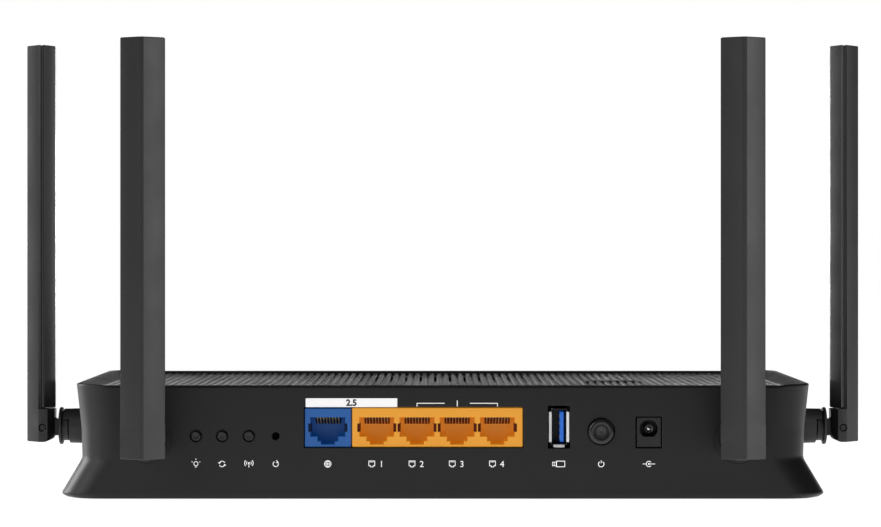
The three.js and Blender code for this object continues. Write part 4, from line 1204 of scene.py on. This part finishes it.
def build_labels():
    z = LABEL_Z
    parts = []
    marks = {
        "indicator_button": lamp_mark,
        "pairing_button": link_mark,
        "radio_button": radio_mark,
        "reset_button": turn_back_mark,
        "usb_shell": stick_mark,
        "power_button": power_mark,
        "dc_jack_body": inlet_mark,
    }
    for node, mark in marks.items():
        parts += mark(node_centre(node).x, z)
    parts += globe_mark(WAN_X, z)
    for i, x in enumerate(LAN_XS):
        parts += socket_mark(x - 1.7, z)
        parts.append(figure(str(i + 1), x + 1.6, z, FIGURE_SIZE))
    first, last = LAN_XS[1], LAN_XS[3]
    middle = (first + last) / 2
    bracket_z = 32.2
    for end, side in ((first, -1), (last, 1)):
        line = [(end, 31.1), (end, bracket_z), (middle + side * 4.3, bracket_z)]
        parts.append(ink(line, False, 0.26))
    parts.append(figure("1", middle, bracket_z, FIGURE_SIZE))
    house(join("wall_marks", parts), "print_white")

    lan_low, lan_high = cad_box("lan_jack_block")
    strip_low = cad_box("wan_jack")[0].x + 0.3
    strip_high = lan_low.x + 15.3
    outline = rectangle(strip_low, strip_high, lan_high.z + GAP + 0.02, 33.9, 0.1)
    house(prism("speed_strip", outline, INK_FRONT, INK_BACK, "y"), "print_white")
    text = figure("2.5", (strip_low + strip_high) / 2, 32.45, FIGURE_SIZE, 0.12)
    text.data.transform(Matrix.Translation((0, INK_FRONT - 0.01, 0)))
    text.name = "speed_strip_figure"
    house(text, "print_white", material=PRINT_BLACK)


# ---------------------------------------------------------------- underside


def build_foot(node):
    low, high = cad_box(node)
    centre = node_centre(node)
    radius = (high.x - low.x) / 2
    profile = [(0, low.z + 0.15), (radius - 2, low.z + 0.12), (radius - 1.2, low.z), (radius - 0.5, low.z)]
    profile += [(radius, low.z + 0.4), (radius, high.z), (0, high.z)]
    foot = turned(node + "_pad", profile, 0, 0, 56)
    # The profile was turned about Y, so it is stood up along Z and moved to the foot's place.
    foot.data.transform(Matrix.Translation((centre.x, centre.y, 0)) @ STAND_UP)
    house(foot, "foot_rubber", [node])


# ---------------------------------------------------------------- carried-over CAD nodes


def finish_cad_nodes():
    """Gives each CAD node that still shows its material, and rounds its moulded edges."""
    replaced = {name for obj in bpy.data.objects for name in obj.get("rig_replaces", [])}
    slots = {row["node"]: row["material_slot"] for row in frame["record"]["subparts"]}
    for name, obj in frame["nodes"].items():
        if name in replaced:
            continue
        obj.data.materials.clear()
        obj.data.materials.append(SLOT_MATERIALS[slots[name]])
        weld = obj.modifiers.new("weld", "WELD")
        weld.merge_threshold = 1e-6
        flat = obj.modifiers.new("flatten", "DECIMATE")
        flat.decimate_type = "DISSOLVE"
        flat.angle_limit = math.radians(1)
        bevel = obj.modifiers.new("soften", "BEVEL")
        bevel.width = 0.1 * MM
        bevel.segments = 2
        bevel.limit_method = "ANGLE"
        bevel.angle_limit = math.radians(40)


# ---------------------------------------------------------------- assembly

JACK_PITCH = 13.67
FIRST_JACK = 8.35
LAN_XS = [cad_box("lan_jack_block")[0].x + FIRST_JACK + i * JACK_PITCH for i in range(4)]
WAN_X = node_centre("wan_jack").x

build_housing()
build_top_panel()
build_led_window()
build_jack("lan_jack_block", "lan_jack_body", "jack_orange", LAN_XS)
build_jack("wan_jack", "wan_jack_body", "jack_blue", [WAN_X])
build_contacts("lan_contacts", "lan_contact_wires", LAN_XS)
build_contacts("wan_contacts", "wan_contact_wires", [WAN_X])
build_usb()
build_dc_inlet()
for button in SMALL_BUTTONS:
    build_small_button(button)
build_reset_button()
build_power_button()
for antenna in ANTENNA_TURNS:
    antenna_place = antenna_frame(antenna)
    for build in (build_socket, build_swivel, build_pin, build_outer_shell, build_inner_shell):
        build(antenna, antenna_place)
build_labels()
for foot_name in ("rear_left_foot", "rear_right_foot", "front_left_foot", "front_right_foot"):
    build_foot(foot_name)
finish_cad_nodes()

# ---------------------------------------------------------------- stage, light and camera


FLOOR_RADIUS = 0.75


def build_floor():
    paint = Paint("pale_floor")
    paint.feed("Base Color", paint.ramp(paint.noise(60, 2), (0.86, 0.86, 0.86), (0.9, 0.9, 0.9)))
    paint.feed("Roughness", paint.ramp(paint.noise(30, 2), 0.75, 0.85))
    mesh = bpy.data.meshes.new("floor")
    mesh.from_pydata(ring_z(circle(0, 0, FLOOR_RADIUS), 0), [], [tuple(range(ROUND))])
    mesh.materials.append(paint.material)
    add_object("floor", mesh)


ANTENNA_WORDS = ("_blade_", "_swivel", "_socket_sleeve", "_pin", "antenna")


def light_group(name, wanted):
    """The shown meshes that one set of lights falls on."""
    group = bpy.data.collections.new(name)
    for obj in bpy.context.scene.objects:
        if obj.type == "MESH" and wanted(obj.name):
            group.objects.link(obj)
    return group


def is_antenna(name):
    return any(word in name for word in ANTENNA_WORDS) and not name.startswith(("inlet", "dc"))


def soft_box(name, group, azimuth, elevation, distance, size, power, blockers=None):
    """An area light seen from the part at an azimuth (0 = connector side, 90 = its right)."""
    turn, rise = math.radians(azimuth), math.radians(elevation)
    across, along, up = math.sin(turn) * math.cos(rise), -math.cos(turn) * math.cos(rise), math.sin(rise)
    towards = Vector((across, along, up))
    light = bpy.data.lights.new(name, "AREA")
    light.shape = "RECTANGLE"
    light.size, light.size_y = size
    light.energy = power
    obj = add_object(name, light)
    obj.location = LIT_POINT + towards * distance
    obj.rotation_euler = (-towards).to_track_quat("-Z", "Y").to_euler()
    obj.visible_camera = False
    obj.light_linking.receiver_collection = group
    if blockers is not None:
        obj.light_linking.blocker_collection = blockers


SQUARE, TALL, NARROW, LOW_STRIP, ABOVE = (0.8, 0.8), (0.6, 1.0), (0.5, 1.0), (3.0, 0.14), (1.2, 1.2)
LIT_POINT = Vector((0, 0, 0.06))


def build_lights():
    """Soft boxes: one set for the upright antennas, one for the housing, and one for the floor."""
    antennas = light_group("antennas_lit", is_antenna)
    floor = light_group("floor_lit", lambda name: name == "floor")
    rest = light_group("housing_lit", lambda name: name != "floor" and not is_antenna(name))
    # Name, what it lights, azimuth, elevation, distance in metres, size and watts.
    for row in (
        ("antenna_rim", antennas, 180, 2.2, 2.0, LOW_STRIP, 40),
        ("antenna_left", antennas, -45, 25, 1.5, SQUARE, 6.5),
        ("antenna_right", antennas, 45, 25, 1.5, SQUARE, 6),
        ("antenna_far_right", antennas, 70, 12, 1.5, NARROW, 9),
        ("antenna_back_left", antennas, -118, 15, 1.5, TALL, 4),
        ("housing_rim", rest, 180, 2.2, 2.0, LOW_STRIP, 5.5),
        ("housing_left", rest, -45, 25, 1.5, SQUARE, 4.5),
        ("housing_far_left", rest, -70, 12, 1.5, NARROW, 4),
        ("housing_back_left", rest, -118, 15, 1.5, TALL, 13),
        ("housing_top", rest, 0, 80, 1.4, ABOVE, 0.7),
        ("antenna_top", antennas, 0, 80, 1.4, ABOVE, 0.7),
    ):
        soft_box(*row)
    soft_box("floor_top", floor, 0, 90, 1.4, (2.4, 2.4), 54, blockers=floor)


def build_world():
    """White to the eye, and a softer, darker surround to everything that it lights."""
    world = bpy.data.worlds.new("studio")
    world.use_nodes = True
    tree = world.node_tree
    seen = tree.nodes["Background"]
    lit = tree.nodes.new("ShaderNodeBackground")
    for background, strength in ((seen, 1.0), (lit, 0.05)):
        background.inputs["Color"].default_value = (1, 1, 1, 1)
        background.inputs["Strength"].default_value = strength
    mix = tree.nodes.new("ShaderNodeMixShader")
    rays = tree.nodes.new("ShaderNodeLightPath")
    sources = (rays.outputs["Is Camera Ray"], lit.outputs["Background"], seen.outputs["Background"])
    for source, target in zip(sources, mix.inputs):
        tree.links.new(source, target)
    tree.links.new(mix.outputs["Shader"], tree.nodes["World Output"].inputs["Surface"])
    bpy.context.scene.world = world


def build_camera():
    data = bpy.data.cameras.new("camera")
    data.sensor_width = 36
    data.lens = 132.3
    data.clip_end = 100
    camera = add_object("camera", data)
    camera.location = (-0.0008, HOUSING_LOW.y - 1.1, HOUSING_LOW.z + 0.0797)
    camera.rotation_euler = (math.pi / 2, 0, 0)
    bpy.context.scene.camera = camera


build_floor()
build_world()
build_lights()
build_camera()
bpy.context.scene.view_settings.view_transform = "Standard"
